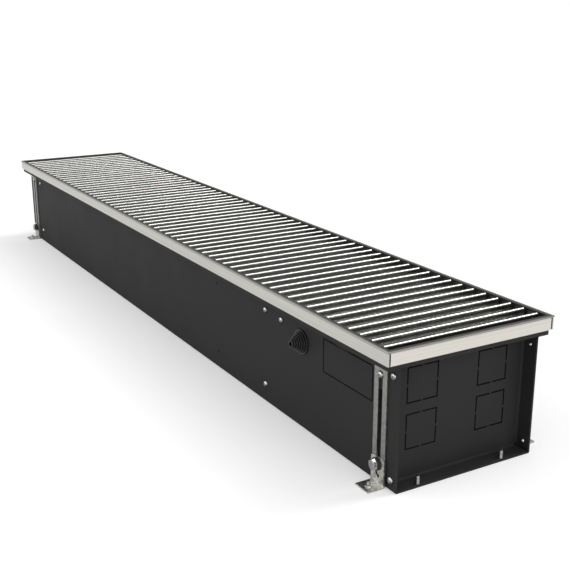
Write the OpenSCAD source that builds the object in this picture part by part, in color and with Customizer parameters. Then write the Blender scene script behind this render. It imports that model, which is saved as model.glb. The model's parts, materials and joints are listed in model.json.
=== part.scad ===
// Trench convector heater: a black sheet steel trough let into the floor, with an aluminium
// surface frame, a roll-up grille of cross bars, a finned heat exchanger and a cross-flow fan.
// X runs along the trough, Y across it and Z up. The origin is on the floor, under the
// middle of the trough. Left is -X, front is -Y.

/* [Trough] */
// Length of the trough over its two end rims
trough_len = 1522.4; // [1400:0.1:2000]
// Width over the outsides of the two long walls
trough_w = 220; // [215:1:280]
// Height of the whole heater, from the floor to the top of the frame
heater_h = 190; // [186:1:240]
// Thickness of the black steel sheet
sheet_t = 1.2; // [1:0.1:1.5]
// Outer radius of the bends in the trough sheet
bend_r = 2.4; // [2:0.1:3]
// Outer radius of the sharper bends between the shelves and their lips
lip_bend_r = 1.3; // [1.25:0.05:1.3]
// Drop from the top of the frame to the underside of the shelf
shelf_drop = 26.6; // [25:0.1:32]
// Reach of the shelf and its lip outside the long wall
shelf_out = 17.1; // [16:0.1:22]
// Height of the lip above the underside of the shelf
lip_h = 18.6; // [12:0.1:19]

/* [End panels] */
// Depth of the tray in each end
recess = 23.5; // [20:0.1:30]
// Inner bend radius where the tray turns into its flanges
tray_bend = 3; // [2:0.1:4]
// Side of a square knock-out
knockout = 48; // [36:1:52]
// Distance between the two columns of knock-outs
knockout_cols = 112; // [80:1:116]
// Drop from the underside of the shelf to the middle between the two rows of knock-outs
knockout_drop = 66.75; // [62:0.05:70]
// Distance between the two rows of knock-outs
knockout_rows = 62.1; // [56:0.1:64]
// Width of the cut round a knock-out
cut_w = 1.5; // [0.5:0.1:2]
// Length of each bridge that holds a knock-out
bridge = 3; // [1:0.5:5]

/* [Frame] */
// Gap between the lip of the long shelf and the frame
frame_gap = 1.25; // [0.8:0.05:2]
// Gap between the lip at the end and the frame
frame_end_gap = 1.8; // [1.7:0.05:3]
// Thickness of the frame's outer leg
frame_t = 2; // [1.5:0.1:2.5]
// Height of the outer leg below the top of the frame
frame_skirt = 18.7; // [14:0.1:22]
// Width of the frame's top band
band_w = 7.1; // [6.9:0.05:7.3]
// Thickness of the top band
band_t = 1.7; // [1.2:0.1:2.2]
// How far the top band stands proud of the outer leg
band_proud = 0.95; // [0.7:0.05:1.2]
// Thickness of the frame's inner leg
inner_leg_t = 1; // [0.6:0.05:1.1]
// Gap between the outer leg at the end and the outer leg along the side
end_leg_gap = 1.9; // [1.5:0.1:4]
// Height of the groove under the top band
groove_h = 1; // [0.6:0.1:1.4]
// Depth of the groove under the top band
groove_deep = 0.7; // [0.4:0.1:0.9]

/* [Grille] */
// Distance from one cross bar to the next
bar_pitch = 24.63; // [20:0.01:32]
// Width of a bar at its head
bar_w = 5; // [4:0.1:6]
// Width of a bar at its foot
bar_foot_w = 7; // [6.4:0.1:10]
// Height of a bar
bar_h = 20; // [18:0.5:20.5]
// Gap between the end of a bar and the frame
bar_end_gap = 2.8; // [2:0.1:6]
// Drop of the bars below the top of the frame
bar_drop = 0.5; // [0.3:0.1:2]
// Shift of the whole grille towards the right end
bar_shift = 4.4; // [0:0.1:6]
// Distance between the two spring cores
core_span = 160; // [100:1:180]
// Radius of a spring core
core_r = 2; // [1.5:0.1:2.5]
// Radius of a spacer
spacer_r = 4; // [3:0.1:5]

/* [Feet] */
// Distance from the end rim of the trough to the middle of a guide strip
foot_set = 33.7; // [33:0.1:150]
// Width of a foot
foot_w = 27; // [22:0.5:29]
// Shift of the foot plate from the middle of its guide strip towards the end
foot_shift = 1.5; // [0:0.1:2]
// Reach of the foot plate from the guide strip
foot_out = 25; // [20:0.5:40]
// Height of the foot's upright leg
foot_h = 42; // [39:0.5:44]
// Thickness of the foot's sheet
foot_t = 2; // [1.5:0.1:4]
// Radius of the foot's two upper corners
foot_round = 6; // [2:0.5:10]
// Height of the hex bolt above the floor
bolt_z = 28; // [27:0.5:30]
// Radius of the hex bolt's shank
bolt_r = 4; // [3:0.5:4]
// Width of a guide strip
strip_w = 26; // [22:0.5:28]
// Thickness of a guide strip
strip_t = 2.5; // [1.5:0.1:3]
// Width of the long slot
slot_w = 8.6; // [8.6:0.1:9.4]
// Height of the lower slot end's centre
slot_low = 12; // [10:0.5:12.5]
// Drop from the shelf to the pan head screw that holds a guide strip
strip_screw_drop = 17.9; // [17:0.1:21]

/* [Levelling screws] */
// Radius of a levelling screw
level_r = 3; // [2.5:0.1:3.5]
// Height of a levelling screw's top above the bottom flange
level_up = 10.7; // [8:0.1:14]
// Distance of a levelling screw from the rim of the trough
level_set = 5.7; // [4.5:0.1:8]
// Distance of the front levelling screw from the middle
level_front = 72; // [40:0.5:90]
// Distance of the rear levelling screw from the middle
level_rear = 64.5; // [40:0.5:90]
// Running clearance of the thread
thread_gap = 0.05; // [0.02:0.01:0.1]

/* [Heat exchanger] */
// Distance from the left rim of the trough to the left partition
partition_left_set = 85.2; // [85:0.1:160]
// Distance from the right rim of the trough to the right partition
partition_right_set = 331.2; // [329:0.1:380]
// Drop from the shelf to the partitions' upper edge
partition_drop = 8.4; // [5:0.1:11]
// Depth of the partitions' flanges
partition_flange = 16; // [14:0.5:18]
// Width of a fin across the trough
fin_w = 100; // [90:1:101]
// Height of a fin
fin_h = 60; // [50:1:64]
// Thickness of a fin
fin_t = 0.5; // [0.3:0.1:0.8]
// Distance from one fin to the next
fin_pitch = 12; // [8:0.5:20]
// Height of the fins' lower edge
fin_z = 45; // [44:0.5:50]
// Outer radius of the exchanger tubes
tube_r = 6; // [5:0.5:6.5]
// Wall of the exchanger tubes
tube_wall = 1; // [0.7:0.1:1.5]
// Distance between the tubes across the trough
tube_span = 50; // [40:1:52]
// Distance between the tube rows
tube_rise = 30; // [30:0.5:34]
// Radius of the G1/2 bore in the water connections
connection_bore_r = 9.3; // [8:0.1:9.5]
// Length of a water connection
connection_len = 40; // [34:1:50]

/* [Fan] */
// Distance of the fan axis from the inner face of the front wall
fan_set = 46.8; // [44:0.1:48]
// Height of the fan axis
fan_z = 75; // [72:0.5:80]
// Radius of the impellers
impeller_r = 26; // [22:0.5:28]
// Radius of the fan shaft
shaft_r = 4; // [3:0.5:5]
// Running clearance of the shaft
shaft_gap = 0.05; // [0.02:0.01:0.1]
// Radius of the motor
motor_r = 30; // [26:0.5:31]
// Length of the motor
motor_len = 76; // [60:1:100]
// Place of the motor's middle along the trough
motor_x = -122; // [-200:1:-60]
// Number of blades on an impeller
blade_count = 24; // [16:1:30]

/* [Electrical] */
// Distance from the right rim of the trough to the middle of the cable grommet
grommet_set = 221.2; // [200:0.1:221.5]
// Drop from the shelf to the middle of the cable grommet
grommet_drop = 36; // [32:0.1:50]
// Radius of the grommet's outer flange
grommet_r = 18; // [15:0.5:18]
// How far the grommet stands out from the wall
grommet_out = 20; // [14:0.5:26]
// Length of the terminal box
box_len = 72; // [60:1:72]
// Radius of the fan cable
cable_r = 3; // [2:0.5:3]

/* [Hidden] */
$fn = 48;

// Overrun of every cut past the faces that it opens
over = 1;
// Clearance between fixed pieces that are fitted into each other
fit_gap = 0.05;
// Clearance between pieces of two different bodies
body_gap = 0.3;

// Colours, as the photo shows them
black_steel = [0.17, 0.17, 0.17];
anodised = [0.72, 0.71, 0.69];
zinc = [0.62, 0.62, 0.60];
bright_steel = [0.80, 0.80, 0.79];
rubber_black = [0.09, 0.09, 0.09];
copper = [0.72, 0.42, 0.28];
brass_yellow = [0.73, 0.62, 0.33];
fin_grey = [0.70, 0.71, 0.72];
grey_plastic = [0.35, 0.36, 0.37];

// Trough
half_len = trough_len / 2;
wall_y = trough_w / 2;
wall_in = wall_y - sheet_t;
bend_in = bend_r - sheet_t;
shelf_z = heater_h - shelf_drop;
shelf_top = shelf_z + sheet_t;
lip_y = wall_y + shelf_out;
lip_top = shelf_z + lip_h;

// End panels
web_x = half_len - recess;
panel_y = wall_in - fit_gap;
knockout_low = shelf_z - knockout_drop - knockout_rows / 2;
screw_set = 10.6;
screw_x = half_len - screw_set;
screw_drop = 12.8;
screw_high = shelf_z - screw_drop;
screw_low = 13.9;
screw_r = 1.75;
screw_gap = 0.15;
screw_head_r = 4.75;
screw_head_h = 2.6;
screw_socket_r = 1.5;
head_rim_share = 0.4;
head_top_share = 0.72;
nut_af = 6;
nut_h = 3;

// Knock-out in the front wall
side_knockout_set = 52.7;
side_knockout_w = 113.5;
side_knockout_to = half_len - side_knockout_set;
side_knockout_from = side_knockout_to - side_knockout_w;
side_knockout_drop = 12.9;
side_knockout_h = 48;
side_knockout_high = shelf_z - side_knockout_drop;
side_knockout_low = side_knockout_high - side_knockout_h;
corner_bridge = 2.2;

// Small holes for an accessory bracket, one above the other
bracket_hole_set = 481.5;
bracket_hole_x = half_len - bracket_hole_set;
bracket_hole_low = 27.7;
bracket_hole_drop = 20.5;
bracket_hole_high = shelf_z - bracket_hole_drop;
bracket_hole_r = 1.8;

// Frame
leg_y = lip_y + frame_gap;
face_y = leg_y + frame_t;
band_y = face_y + band_proud;
band_in_y = band_y - band_w;
leg_x = half_len + frame_end_gap;
face_x = leg_x + frame_t;
band_x = face_x + band_proud;
band_in_x = band_x - band_w;
band_z = heater_h - band_t;
skirt_z = heater_h - frame_skirt;
groove_z = band_z - groove_h;
band_chamfer = 0.3;
key_arm = 30;
key_h = 3;

// Grille
bar_top = heater_h - bar_drop;
bar_z = bar_top - bar_h;
bar_len = 2 * (band_in_y - bar_end_gap);
bar_count = floor(2 * band_in_x / bar_pitch);
bar_chamfer = 0.4;
bar_head_h = 5;
bar_slope_h = 4;
core_rise = 6.4;
core_z = bar_z + core_rise;
core_end = 3;
rest_w = 11;
rest_set = 1.2;
rest_h = bar_z - shelf_top - body_gap;

// Feet
foot_x = half_len - foot_set;
plate_x = foot_x + foot_shift;
strip_top = shelf_z - bend_r;
strip_screw_z = shelf_z - strip_screw_drop;
slot_past = 1.2;
slot_high = strip_screw_z + slot_past;
wall_slot_drop = 41.4;
wall_slot_high = shelf_z - wall_slot_drop;
foot_y = wall_y + strip_t + body_gap;
foot_bend = 1;
bolt_gap = 0.25;
bolt_af = 13;
bolt_head_h = 5.3;
washer_r = 8.5;
washer_t = 2.6;
bolt_nut_h = 6.5;
bolt_past = 1;
foot_screw_set = 14.2;
foot_screw_y = foot_y + foot_screw_set;
foot_screw_r = 2.5;
foot_screw_top = 8.5;
collar_r = 5.2;
collar_h = 1.6;
foot_hole_high = 15.8;
foot_hole_low = 13;
foot_hole_shift = 3.9;
foot_hole_high_r = 1.8;
foot_hole_low_r = 2;
strip_screw_head_r = 4.6;

// Levelling screws
level_tip = 0.3;
level_x = half_len - level_set;
level_top = 2 * sheet_t + level_up;
slot_cut_w = 1;
slot_cut_h = 1.6;

// Exchanger
partition_left_x = half_len - partition_left_set;
partition_right_x = half_len - partition_right_set;
partition_h = shelf_z - partition_drop;
fin_rear_gap = 13.8;
fin_y = wall_in - fin_rear_gap - fin_w / 2;
tube_y = fin_y - tube_span / 2;
tube_edge_share = 0.25;
tube_low = fin_z + fin_h * tube_edge_share;
tube_past = 9.6;
tube_left = partition_left_x + tube_past;
tube_right = partition_right_x + partition_flange;
fin_end_gap = 6;
fins_from = -partition_left_x + fin_end_gap;
fins_to = partition_right_x - fin_end_gap;
fin_count = floor((fins_to - fins_from) / fin_pitch);
connection_af = 24;
connection_grip = 10;
connection_from = tube_right - connection_grip;
socket_deep = 26;
port_r = 5;
vent_set = 6;
vent_x = tube_right - vent_set;
vent_r = 5;
vent_h = 12;
vent_screw_r = 2;
vent_screw_out = 6;
vent_head_r = 3;
vent_head_h = 3.5;
vent_deep = 8;
vent_tip = 1;

// Rivets
rivet_head_r = 4.6;
rivet_head_h = 2.6;
rivet_shoulder_share = 0.85;
rivet_shoulder_h_share = 0.6;
rivet_crown_share = 0.5;
rivet_r = 1.85;
rivet_low = 28;
rivet_drop = 19.5;
rivet_high = shelf_z - rivet_drop;
box_rivet_set = 277;
box_rivet_x = half_len - box_rivet_set;
box_rivet_drop = 21.5;
box_rivet_z = shelf_z - box_rivet_drop;

// Fan
fan_y = -wall_in + fan_set;
guide_gap = 7;
guide_r = impeller_r + guide_gap;
guide_height_share = 2.85;
guide_t = 1;
duct_gap = 4;
duct_z = fin_z - duct_gap;
motor_gap = 2;
duct_y = fan_y + motor_r + motor_gap;
fin_side_gap = 2;
duct_rear = fin_y + fin_w / 2 + fin_side_gap;
baffle_set = 4;
baffle_y = duct_y + baffle_set;
baffle_rise = 22.9;
baffle_low = fan_z + baffle_rise;
tongue = 8;
motor_from = motor_x - motor_len / 2;
motor_to = motor_x + motor_len / 2;
upright_t = 2;
upright_hole_r = 12;
upright_rise = 20.1;
upright_h = fan_z + upright_rise;
upright_w = 50;
impeller_gap = 10;
impeller_end_gap = 8;
disc_t = 1.5;
disc_pitch = 99.7;
blade_depth = 5;
blade_t = 0.9;
blade_lean = 28;
hub_r = 9;
hub_len = 12;
bearing_r = 8;
bearing_len = 12;
mount_r = 14;
mount_flange_r = 17;
shaft_past = 14;
bell_r_share = 0.8;
bell_len = 8;

// Electrical
grommet_x = half_len - grommet_set;
grommet_z = shelf_z - grommet_drop;
box_gap = 3.5;
box_right = grommet_x - grommet_r - box_gap;
box_left = box_right - box_len;
box_drop = 29.4;
box_h = 50;
box_high = shelf_z - box_drop;
box_low = box_high - box_h;
box_depth = 44;
box_wall = 2;
lid_t = 2.5;
lug_w = 20;
lug_h = 14;
block_poles = 5;
block_depth = 14;
block_h = 18;
pole_hole_share = 0.28;
cable_aside = 23;
cable_y = fan_y - cable_aside;
cable_z = 2 * sheet_t + upright_t + cable_r;
cable_set = 14;
cable_x = box_left + cable_set;
cable_gap = 2;
cable_hole_r = cable_r + cable_gap;
boss_r = 4.5;
boss_low = fan_z - motor_r;
grommet_steps = 6;
grommet_grip = 3.5;
grommet_hole_r = grommet_r - grommet_grip;
grommet_shoulder = 2.5;
grommet_inner_set = 1;
grommet_tip_r = 5;
grommet_tip_wall = 1.5;
grommet_flange_h = 2.4;

// Sheet profile across the trough, drawn in Y and Z
module quarter_bend(r_out, t) {
    intersection() {
        difference() {
            circle(r = r_out);
            circle(r = r_out - t);
        }
        square(r_out);
    }
}

// Sharp bend from the shelf up into the lip, its outer face at the given place
module lip_bend(reach) translate([reach - lip_bend_r, shelf_z + lip_bend_r]) mirror([0, 1])
    quarter_bend(lip_bend_r, sheet_t);

module trough_half_profile() {
    square([wall_y - bend_r, sheet_t]);
    translate([wall_y - bend_r, bend_r]) mirror([0, 1]) quarter_bend(bend_r, sheet_t);
    translate([wall_in, bend_r]) square([sheet_t, shelf_z - bend_in - bend_r]);
    translate([wall_y + bend_in, shelf_z - bend_in]) mirror([1, 0]) quarter_bend(bend_r, sheet_t);
    translate([wall_y + bend_in, shelf_z]) square([shelf_out - bend_in - lip_bend_r, sheet_t]);
    lip_bend(lip_y);
    translate([lip_y - sheet_t, shelf_z + lip_bend_r]) square([sheet_t, lip_h - lip_bend_r]);
}

// Extrudes a Y-Z profile along X between two places
module along_x(from, to) {
    translate([from, 0, 0]) rotate([90, 0, 90]) linear_extrude(height = to - from) children();
}

// Extrudes an X-Z profile along Y between two places
module along_y(from, to) {
    translate([0, to, 0]) rotate([90, 0, 0]) linear_extrude(height = to - from) children();
}

// A round bar or cut along Y, centred on a wall
module across_wall(x, y, z, r, reach) {
    translate([x, y - reach / 2, z]) rotate([-90, 0, 0]) cylinder(r = r, h = reach);
}

// A hexagon prism standing on the X-Y plane
module hexagon(across_flats, h) {
    cylinder(r = across_flats / 2 / cos(30), h = h, $fn = 6);
}

// A cut with round ends, standing in a wall that faces Y
module wall_slot(x, y, from_z, to_z, w, reach) {
    across_wall(x, y, from_z, w / 2, reach);
    across_wall(x, y, to_z, w / 2, reach);
    translate([x - w / 2, y - reach / 2, from_z]) cube([w, reach, to_z - from_z]);
}

// One L-shaped corner of a knock-out's cut, in the first quadrant of a square of side 2 * half
module cut_corner(half_a, half_b, gap_a, gap_b) {
    translate([gap_a, half_b - cut_w]) square([half_a - gap_a, cut_w]);
    translate([half_a - cut_w, gap_b]) square([cut_w, half_b - gap_b]);
}

module trough() color(black_steel) {
    difference() {
        along_x(-half_len, half_len) {
            trough_half_profile();
            mirror([1, 0]) trough_half_profile();
        }
        for (sx = [-1, 1], sy = [-1, 1]) {
            wall_slot(sx * foot_x, sy * wall_y, slot_low, wall_slot_high, slot_w, 4 * sheet_t);
            across_wall(sx * foot_x, sy * wall_y, strip_screw_z, screw_r + screw_gap, 4 * sheet_t);
            for (z = [screw_low, screw_high])
                across_wall(sx * screw_x, sy * wall_y, z, screw_r + screw_gap, 4 * sheet_t);
        }
        for (sy = [-1, 1]) {
            for (x = rivet_places, z = [rivet_low, rivet_high])
                across_wall(x, sy * wall_y, z, rivet_r + fit_gap, 4 * sheet_t);
            for (z = [bracket_hole_low, bracket_hole_high])
                across_wall(bracket_hole_x, sy * wall_y, z, bracket_hole_r, 4 * sheet_t);
        }
        across_wall(box_rivet_x, -wall_y, box_rivet_z, rivet_r + fit_gap, 4 * sheet_t);
        across_wall(grommet_x, -wall_y, grommet_z, grommet_hole_r, 4 * sheet_t);
        side_knockout_cut();
        for (p = level_places)
            translate([p[0], p[1], -over]) cylinder(r = level_r + thread_gap, h = sheet_t + 2 * over);
    }
}

rivet_places = [-partition_left_x - partition_flange / 2, partition_right_x + partition_flange / 2];
level_places = [for (sx = [-1, 1], y = [-level_front, level_rear]) [sx * level_x, y]];

// Cut round the rectangular knock-out, stopping short of its four corners
module side_knockout_cut() {
    mid_x = (side_knockout_from + side_knockout_to) / 2;
    mid_z = (side_knockout_low + side_knockout_high) / 2;
    half_w = (side_knockout_to - side_knockout_from) / 2;
    half_h = (side_knockout_high - side_knockout_low) / 2;
    for (s = [-1, 1]) {
        translate([mid_x, -wall_y, mid_z + s * (half_h - cut_w / 2)])
            cube([2 * (half_w - corner_bridge), 4 * sheet_t, cut_w], center = true);
        translate([mid_x + s * (half_w - cut_w / 2), -wall_y, mid_z])
            cube([cut_w, 4 * sheet_t, 2 * (half_h - corner_bridge)], center = true);
    }
}

// Tray profile in X and Z: bottom flange, web, shelf and lip, with X from the web's outer face
module tray_profile() {
    floor_z = sheet_t;
    bend_out = tray_bend + sheet_t;
    translate([tray_bend, floor_z]) square([recess - tray_bend, sheet_t]);
    translate([tray_bend, floor_z + bend_out]) mirror([1, 0]) mirror([0, 1])
        quarter_bend(bend_out, sheet_t);
    translate([-sheet_t, floor_z + bend_out])
        square([sheet_t, shelf_top - floor_z - 2 * bend_out]);
    translate([tray_bend, shelf_top - bend_out]) mirror([1, 0]) quarter_bend(bend_out, sheet_t);
    translate([tray_bend, shelf_z]) square([recess - lip_bend_r - tray_bend, sheet_t]);
    lip_bend(recess);
    translate([recess - sheet_t, shelf_z + lip_bend_r]) square([sheet_t, lip_h - lip_bend_r]);
}

// Plan profile of one side flange with its bend, in X and Y, Y measured in from the wall
module tray_side_plan() {
    bend_out = tray_bend + sheet_t;
    translate([tray_bend, 0]) square([recess - tray_bend, sheet_t]);
    translate([tray_bend, bend_out]) mirror([1, 0]) mirror([0, 1]) quarter_bend(bend_out, sheet_t);
}

// The right end panel; the left one is its mirror image
module end_panel() color(black_steel) {
    bend_out = tray_bend + sheet_t;
    difference() {
        union() {
            translate([web_x, 0, 0]) along_y(-panel_y + bend_out, panel_y - bend_out) tray_profile();
            for (s = [-1, 1]) {
                scale([1, s, 1]) translate([web_x, -panel_y, sheet_t + bend_out])
                    linear_extrude(height = shelf_z - 2 * bend_out) tray_side_plan();
                // flat corners that close the tray at its four ends
                scale([1, s, 1]) translate([web_x + tray_bend, bend_in - panel_y, sheet_t])
                    cube([recess - tray_bend, bend_out - bend_in, sheet_t]);
                scale([1, s, 1]) translate([web_x + tray_bend, -panel_y, shelf_z])
                    cube([recess - lip_bend_r - tray_bend, bend_out, sheet_t]);
                scale([1, s, 1]) translate([half_len - sheet_t, lip_bend_r - lip_y, shelf_top + fit_gap])
                    cube([sheet_t, lip_y - lip_bend_r - panel_y + bend_out, lip_h - sheet_t - fit_gap]);
            }
        }
        for (s = [-1, 1], z = [screw_low, screw_high])
            across_wall(screw_x, s * panel_y, z, screw_r + screw_gap, 4 * sheet_t);
        for (y = [-level_front, level_rear])
            translate([level_x, y, 0]) cylinder(r = level_r + thread_gap, h = 4 * sheet_t);
        for (sy = [-1, 1], row = [0, 1])
            translate([web_x - 2 * sheet_t, sy * knockout_cols / 2, knockout_low + row * knockout_rows])
                rotate([90, 0, 90]) linear_extrude(height = 3 * sheet_t)
                    for (a = [0, 1], b = [0, 1]) mirror([a, 0]) mirror([0, b])
                        cut_corner(knockout / 2, knockout / 2, bridge / 2, bridge / 2);
    }
}

module end_panel_right() end_panel();
module end_panel_left() mirror([1, 0, 0]) end_panel();

// Top band of the frame in section, X from its inner edge outwards
module band_profile() {
    polygon([[0, band_z], [band_w, band_z], [band_w, heater_h - band_chamfer],
        [band_w - band_chamfer, heater_h], [0, heater_h]]);
}

module frame_long() color(anodised) {
    intersection() {
        translate([0, band_in_y, 0]) along_x(-band_x, band_x) band_profile();
        translate([0, 0, band_z - over]) linear_extrude(height = band_t + 2 * over)
            polygon([[-band_in_x, band_in_y], [band_in_x, band_in_y], [band_x, band_y],
                [-band_x, band_y]]);
    }
    translate([-face_x, leg_y, skirt_z]) cube([2 * face_x, frame_t, groove_z - skirt_z]);
    translate([groove_deep - face_x, leg_y, groove_z])
        cube([2 * (face_x - groove_deep), frame_t - groove_deep, groove_h]);
    translate([-band_in_x, band_in_y, shelf_top])
        cube([2 * band_in_x, inner_leg_t, band_z - shelf_top]);
}

module frame_end() color(anodised) {
    end_leg_y = leg_y - end_leg_gap;
    inner_y = band_in_y - fit_gap;
    intersection() {
        translate([band_in_x, 0, 0]) along_y(-band_y, band_y) band_profile();
        translate([0, 0, band_z - over]) linear_extrude(height = band_t + 2 * over)
            polygon([[band_in_x, -band_in_y], [band_x, -band_y], [band_x, band_y],
                [band_in_x, band_in_y]]);
    }
    translate([leg_x, -end_leg_y, skirt_z]) cube([frame_t, 2 * end_leg_y, groove_z - skirt_z]);
    translate([leg_x, -end_leg_y, groove_z]) cube([frame_t - groove_deep, 2 * end_leg_y, groove_h]);
    translate([band_in_x, -inner_y, shelf_top])
        cube([inner_leg_t, 2 * inner_y, band_z - shelf_top]);
}

module frame_rear() frame_long();
module frame_front() mirror([0, 1, 0]) frame_long();
module frame_right() frame_end();
module frame_left() mirror([1, 0, 0]) frame_end();

// Angle pieces inside the hollow of the frame, one behind each mitre
module frame_corner_keys() color(zinc) {
    key_x = band_in_x + inner_leg_t + fit_gap;
    key_y = band_in_y + inner_leg_t + fit_gap;
    key_w = leg_y - fit_gap - key_y;
    key_end_w = leg_x - fit_gap - key_x;
    for (sx = [0, 1], sy = [0, 1]) mirror([sx, 0, 0]) mirror([0, sy, 0]) {
        translate([key_x - key_arm, key_y, band_z - key_h]) cube([key_arm + key_end_w, key_w, key_h]);
        translate([key_x, key_y - key_arm, band_z - key_h]) cube([key_end_w, key_arm + key_w, key_h]);
    }
}

module rest_strip() color(rubber_black)
    translate([-band_in_x + rest_set, band_in_y - rest_set - rest_w, shelf_top])
        cube([2 * (band_in_x - rest_set), rest_w, rest_h]);

module rest_strip_rear() rest_strip();
module rest_strip_front() mirror([0, 1, 0]) rest_strip();

function bar_x(i) = bar_shift + (i - (bar_count - 1) / 2) * bar_pitch;

// Section of a bar in X and Z: a narrow head with bevelled edges on wider shoulders
module bar_profile() {
    half_head = bar_w / 2;
    half_foot = bar_foot_w / 2;
    head_z = bar_h - bar_head_h;
    foot_z = head_z - bar_slope_h;
    polygon([[-half_foot, 0], [half_foot, 0], [half_foot, foot_z], [half_head, head_z],
        [half_head, bar_h - bar_chamfer], [half_head - bar_chamfer, bar_h],
        [bar_chamfer - half_head, bar_h], [-half_head, bar_h - bar_chamfer],
        [-half_head, head_z], [-half_foot, foot_z]]);
}

module grille_bars() color(anodised)
    for (i = [0:bar_count - 1]) difference() {
        translate([bar_x(i), 0, bar_z]) along_y(-bar_len / 2, bar_len / 2) bar_profile();
        for (s = [-1, 1]) translate([bar_x(i) - bar_foot_w, s * core_span / 2, core_z])
            rotate([0, 90, 0]) cylinder(r = core_r + fit_gap, h = 2 * bar_foot_w);
    }

module grille_spacers() color(rubber_black) {
    gap = bar_pitch - bar_foot_w - 2 * fit_gap;
    for (i = [0:bar_count - 2], s = [-1, 1])
        translate([bar_x(i) + bar_foot_w / 2 + fit_gap, s * core_span / 2, core_z])
            rotate([0, 90, 0]) difference() {
                cylinder(r = spacer_r, h = gap);
                translate([0, 0, -over]) cylinder(r = core_r + fit_gap, h = gap + 2 * over);
            }
}

module grille_springs() color(bright_steel) {
    past = bar_foot_w / 2 + core_end;
    for (s = [-1, 1]) translate([bar_x(0) - past, s * core_span / 2, core_z])
        rotate([0, 90, 0]) cylinder(r = core_r, h = bar_x(bar_count - 1) - bar_x(0) + 2 * past);
}

// Slotted strip on the outside of a long wall; this one is at the rear right corner
module guide_strip() color(zinc) difference() {
    translate([foot_x - strip_w / 2, wall_y, 0]) cube([strip_w, strip_t, strip_top]);
    wall_slot(foot_x, wall_y, slot_low, slot_high, slot_w, 4 * strip_t);
}

// Upright leg of a foot in X and Z, with round upper corners
module foot_leg_outline(low) {
    half = foot_w / 2;
    translate([-half, low]) square([foot_w, foot_h - foot_round - low]);
    translate([foot_round - half, low]) square([foot_w - 2 * foot_round, foot_h - low]);
    for (s = [-1, 1]) translate([s * (half - foot_round), foot_h - foot_round]) circle(r = foot_round);
}

// L-foot with its upright leg against the guide strip and its plate on the floor
module foot() color(zinc) {
    bend_out = foot_bend + foot_t;
    difference() {
        union() {
            along_x(plate_x - foot_w / 2, plate_x + foot_w / 2) {
                translate([foot_y + bend_out, bend_out]) mirror([1, 0]) mirror([0, 1])
                    quarter_bend(bend_out, foot_t);
                translate([foot_y + bend_out, 0]) square([foot_out - bend_out, foot_t]);
            }
            translate([plate_x, 0, 0]) along_y(foot_y, foot_y + foot_t) foot_leg_outline(bend_out);
            translate([plate_x, foot_screw_y, foot_t]) cylinder(r = collar_r, h = collar_h);
        }
        across_wall(foot_x, foot_y, bolt_z, bolt_r + bolt_gap, 4 * foot_t);
        across_wall(foot_x, foot_y, foot_hole_high, foot_hole_high_r, 4 * foot_t);
        across_wall(foot_x + foot_hole_shift, foot_y, foot_hole_low, foot_hole_low_r, 4 * foot_t);
        translate([plate_x, foot_screw_y, -over])
            cylinder(r = foot_screw_r + thread_gap, h = foot_t + collar_h + 2 * over);
    }
}

// Hex bolt with its washer outside the foot and its nut inside the trough
module foot_bolt() color(bright_steel) {
    washer_y = foot_y + foot_t;
    nut_y = wall_in - body_gap - bolt_nut_h;
    translate([foot_x, washer_y, bolt_z]) rotate([-90, 0, 0]) difference() {
        cylinder(r = washer_r, h = washer_t);
        translate([0, 0, -over]) cylinder(r = bolt_r + fit_gap, h = washer_t + 2 * over);
    }
    translate([foot_x, washer_y + washer_t, bolt_z]) rotate([-90, 0, 0])
        rotate([0, 0, 30]) hexagon(bolt_af, bolt_head_h);
    translate([foot_x, nut_y - bolt_past, bolt_z]) rotate([-90, 0, 0])
        cylinder(r = bolt_r, h = washer_y + washer_t - nut_y + bolt_past);
    translate([foot_x, nut_y, bolt_z]) rotate([-90, 0, 0]) difference() {
        rotate([0, 0, 30]) hexagon(bolt_af, bolt_nut_h);
        translate([0, 0, -over]) cylinder(r = bolt_r + fit_gap, h = bolt_nut_h + 2 * over);
    }
}

// A slotted grub screw standing upright
module grub_screw(r, from_z, to_z) color(bright_steel) difference() {
    translate([0, 0, from_z]) cylinder(r = r, h = to_z - from_z);
    translate([-slot_cut_w / 2, -r - over, to_z - slot_cut_h])
        cube([slot_cut_w, 2 * (r + over), slot_cut_h + over]);
}

module foot_screw() translate([plate_x, foot_screw_y, 0])
    grub_screw(foot_screw_r, level_tip, foot_screw_top);

// Puts what is drawn at the rear right corner at another corner
module at_corner(left, front) mirror([left, 0, 0]) mirror([0, front, 0]) children();

module guide_strip_front_left() at_corner(1, 1) guide_strip();
module guide_strip_front_right() at_corner(0, 1) guide_strip();
module guide_strip_rear_left() at_corner(1, 0) guide_strip();
module guide_strip_rear_right() at_corner(0, 0) guide_strip();
module foot_front_left() at_corner(1, 1) foot();
module foot_front_right() at_corner(0, 1) foot();
module foot_rear_left() at_corner(1, 0) foot();
module foot_rear_right() at_corner(0, 0) foot();
module foot_bolt_front_left() at_corner(1, 1) foot_bolt();
module foot_bolt_front_right() at_corner(0, 1) foot_bolt();
module foot_bolt_rear_left() at_corner(1, 0) foot_bolt();
module foot_bolt_rear_right() at_corner(0, 0) foot_bolt();
module foot_screw_front_left() at_corner(1, 1) foot_screw();
module foot_screw_front_right() at_corner(0, 1) foot_screw();
module foot_screw_rear_left() at_corner(1, 0) foot_screw();
module foot_screw_rear_right() at_corner(0, 0) foot_screw();

module levelling_screw(sx, y) translate([sx * level_x, y, 0])
    grub_screw(level_r, level_tip, level_top);

module levelling_screw_front_left() levelling_screw(-1, -level_front);
module levelling_screw_front_right() levelling_screw(1, -level_front);
module levelling_screw_rear_left() levelling_screw(-1, level_rear);
module levelling_screw_rear_right() levelling_screw(1, level_rear);

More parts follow.
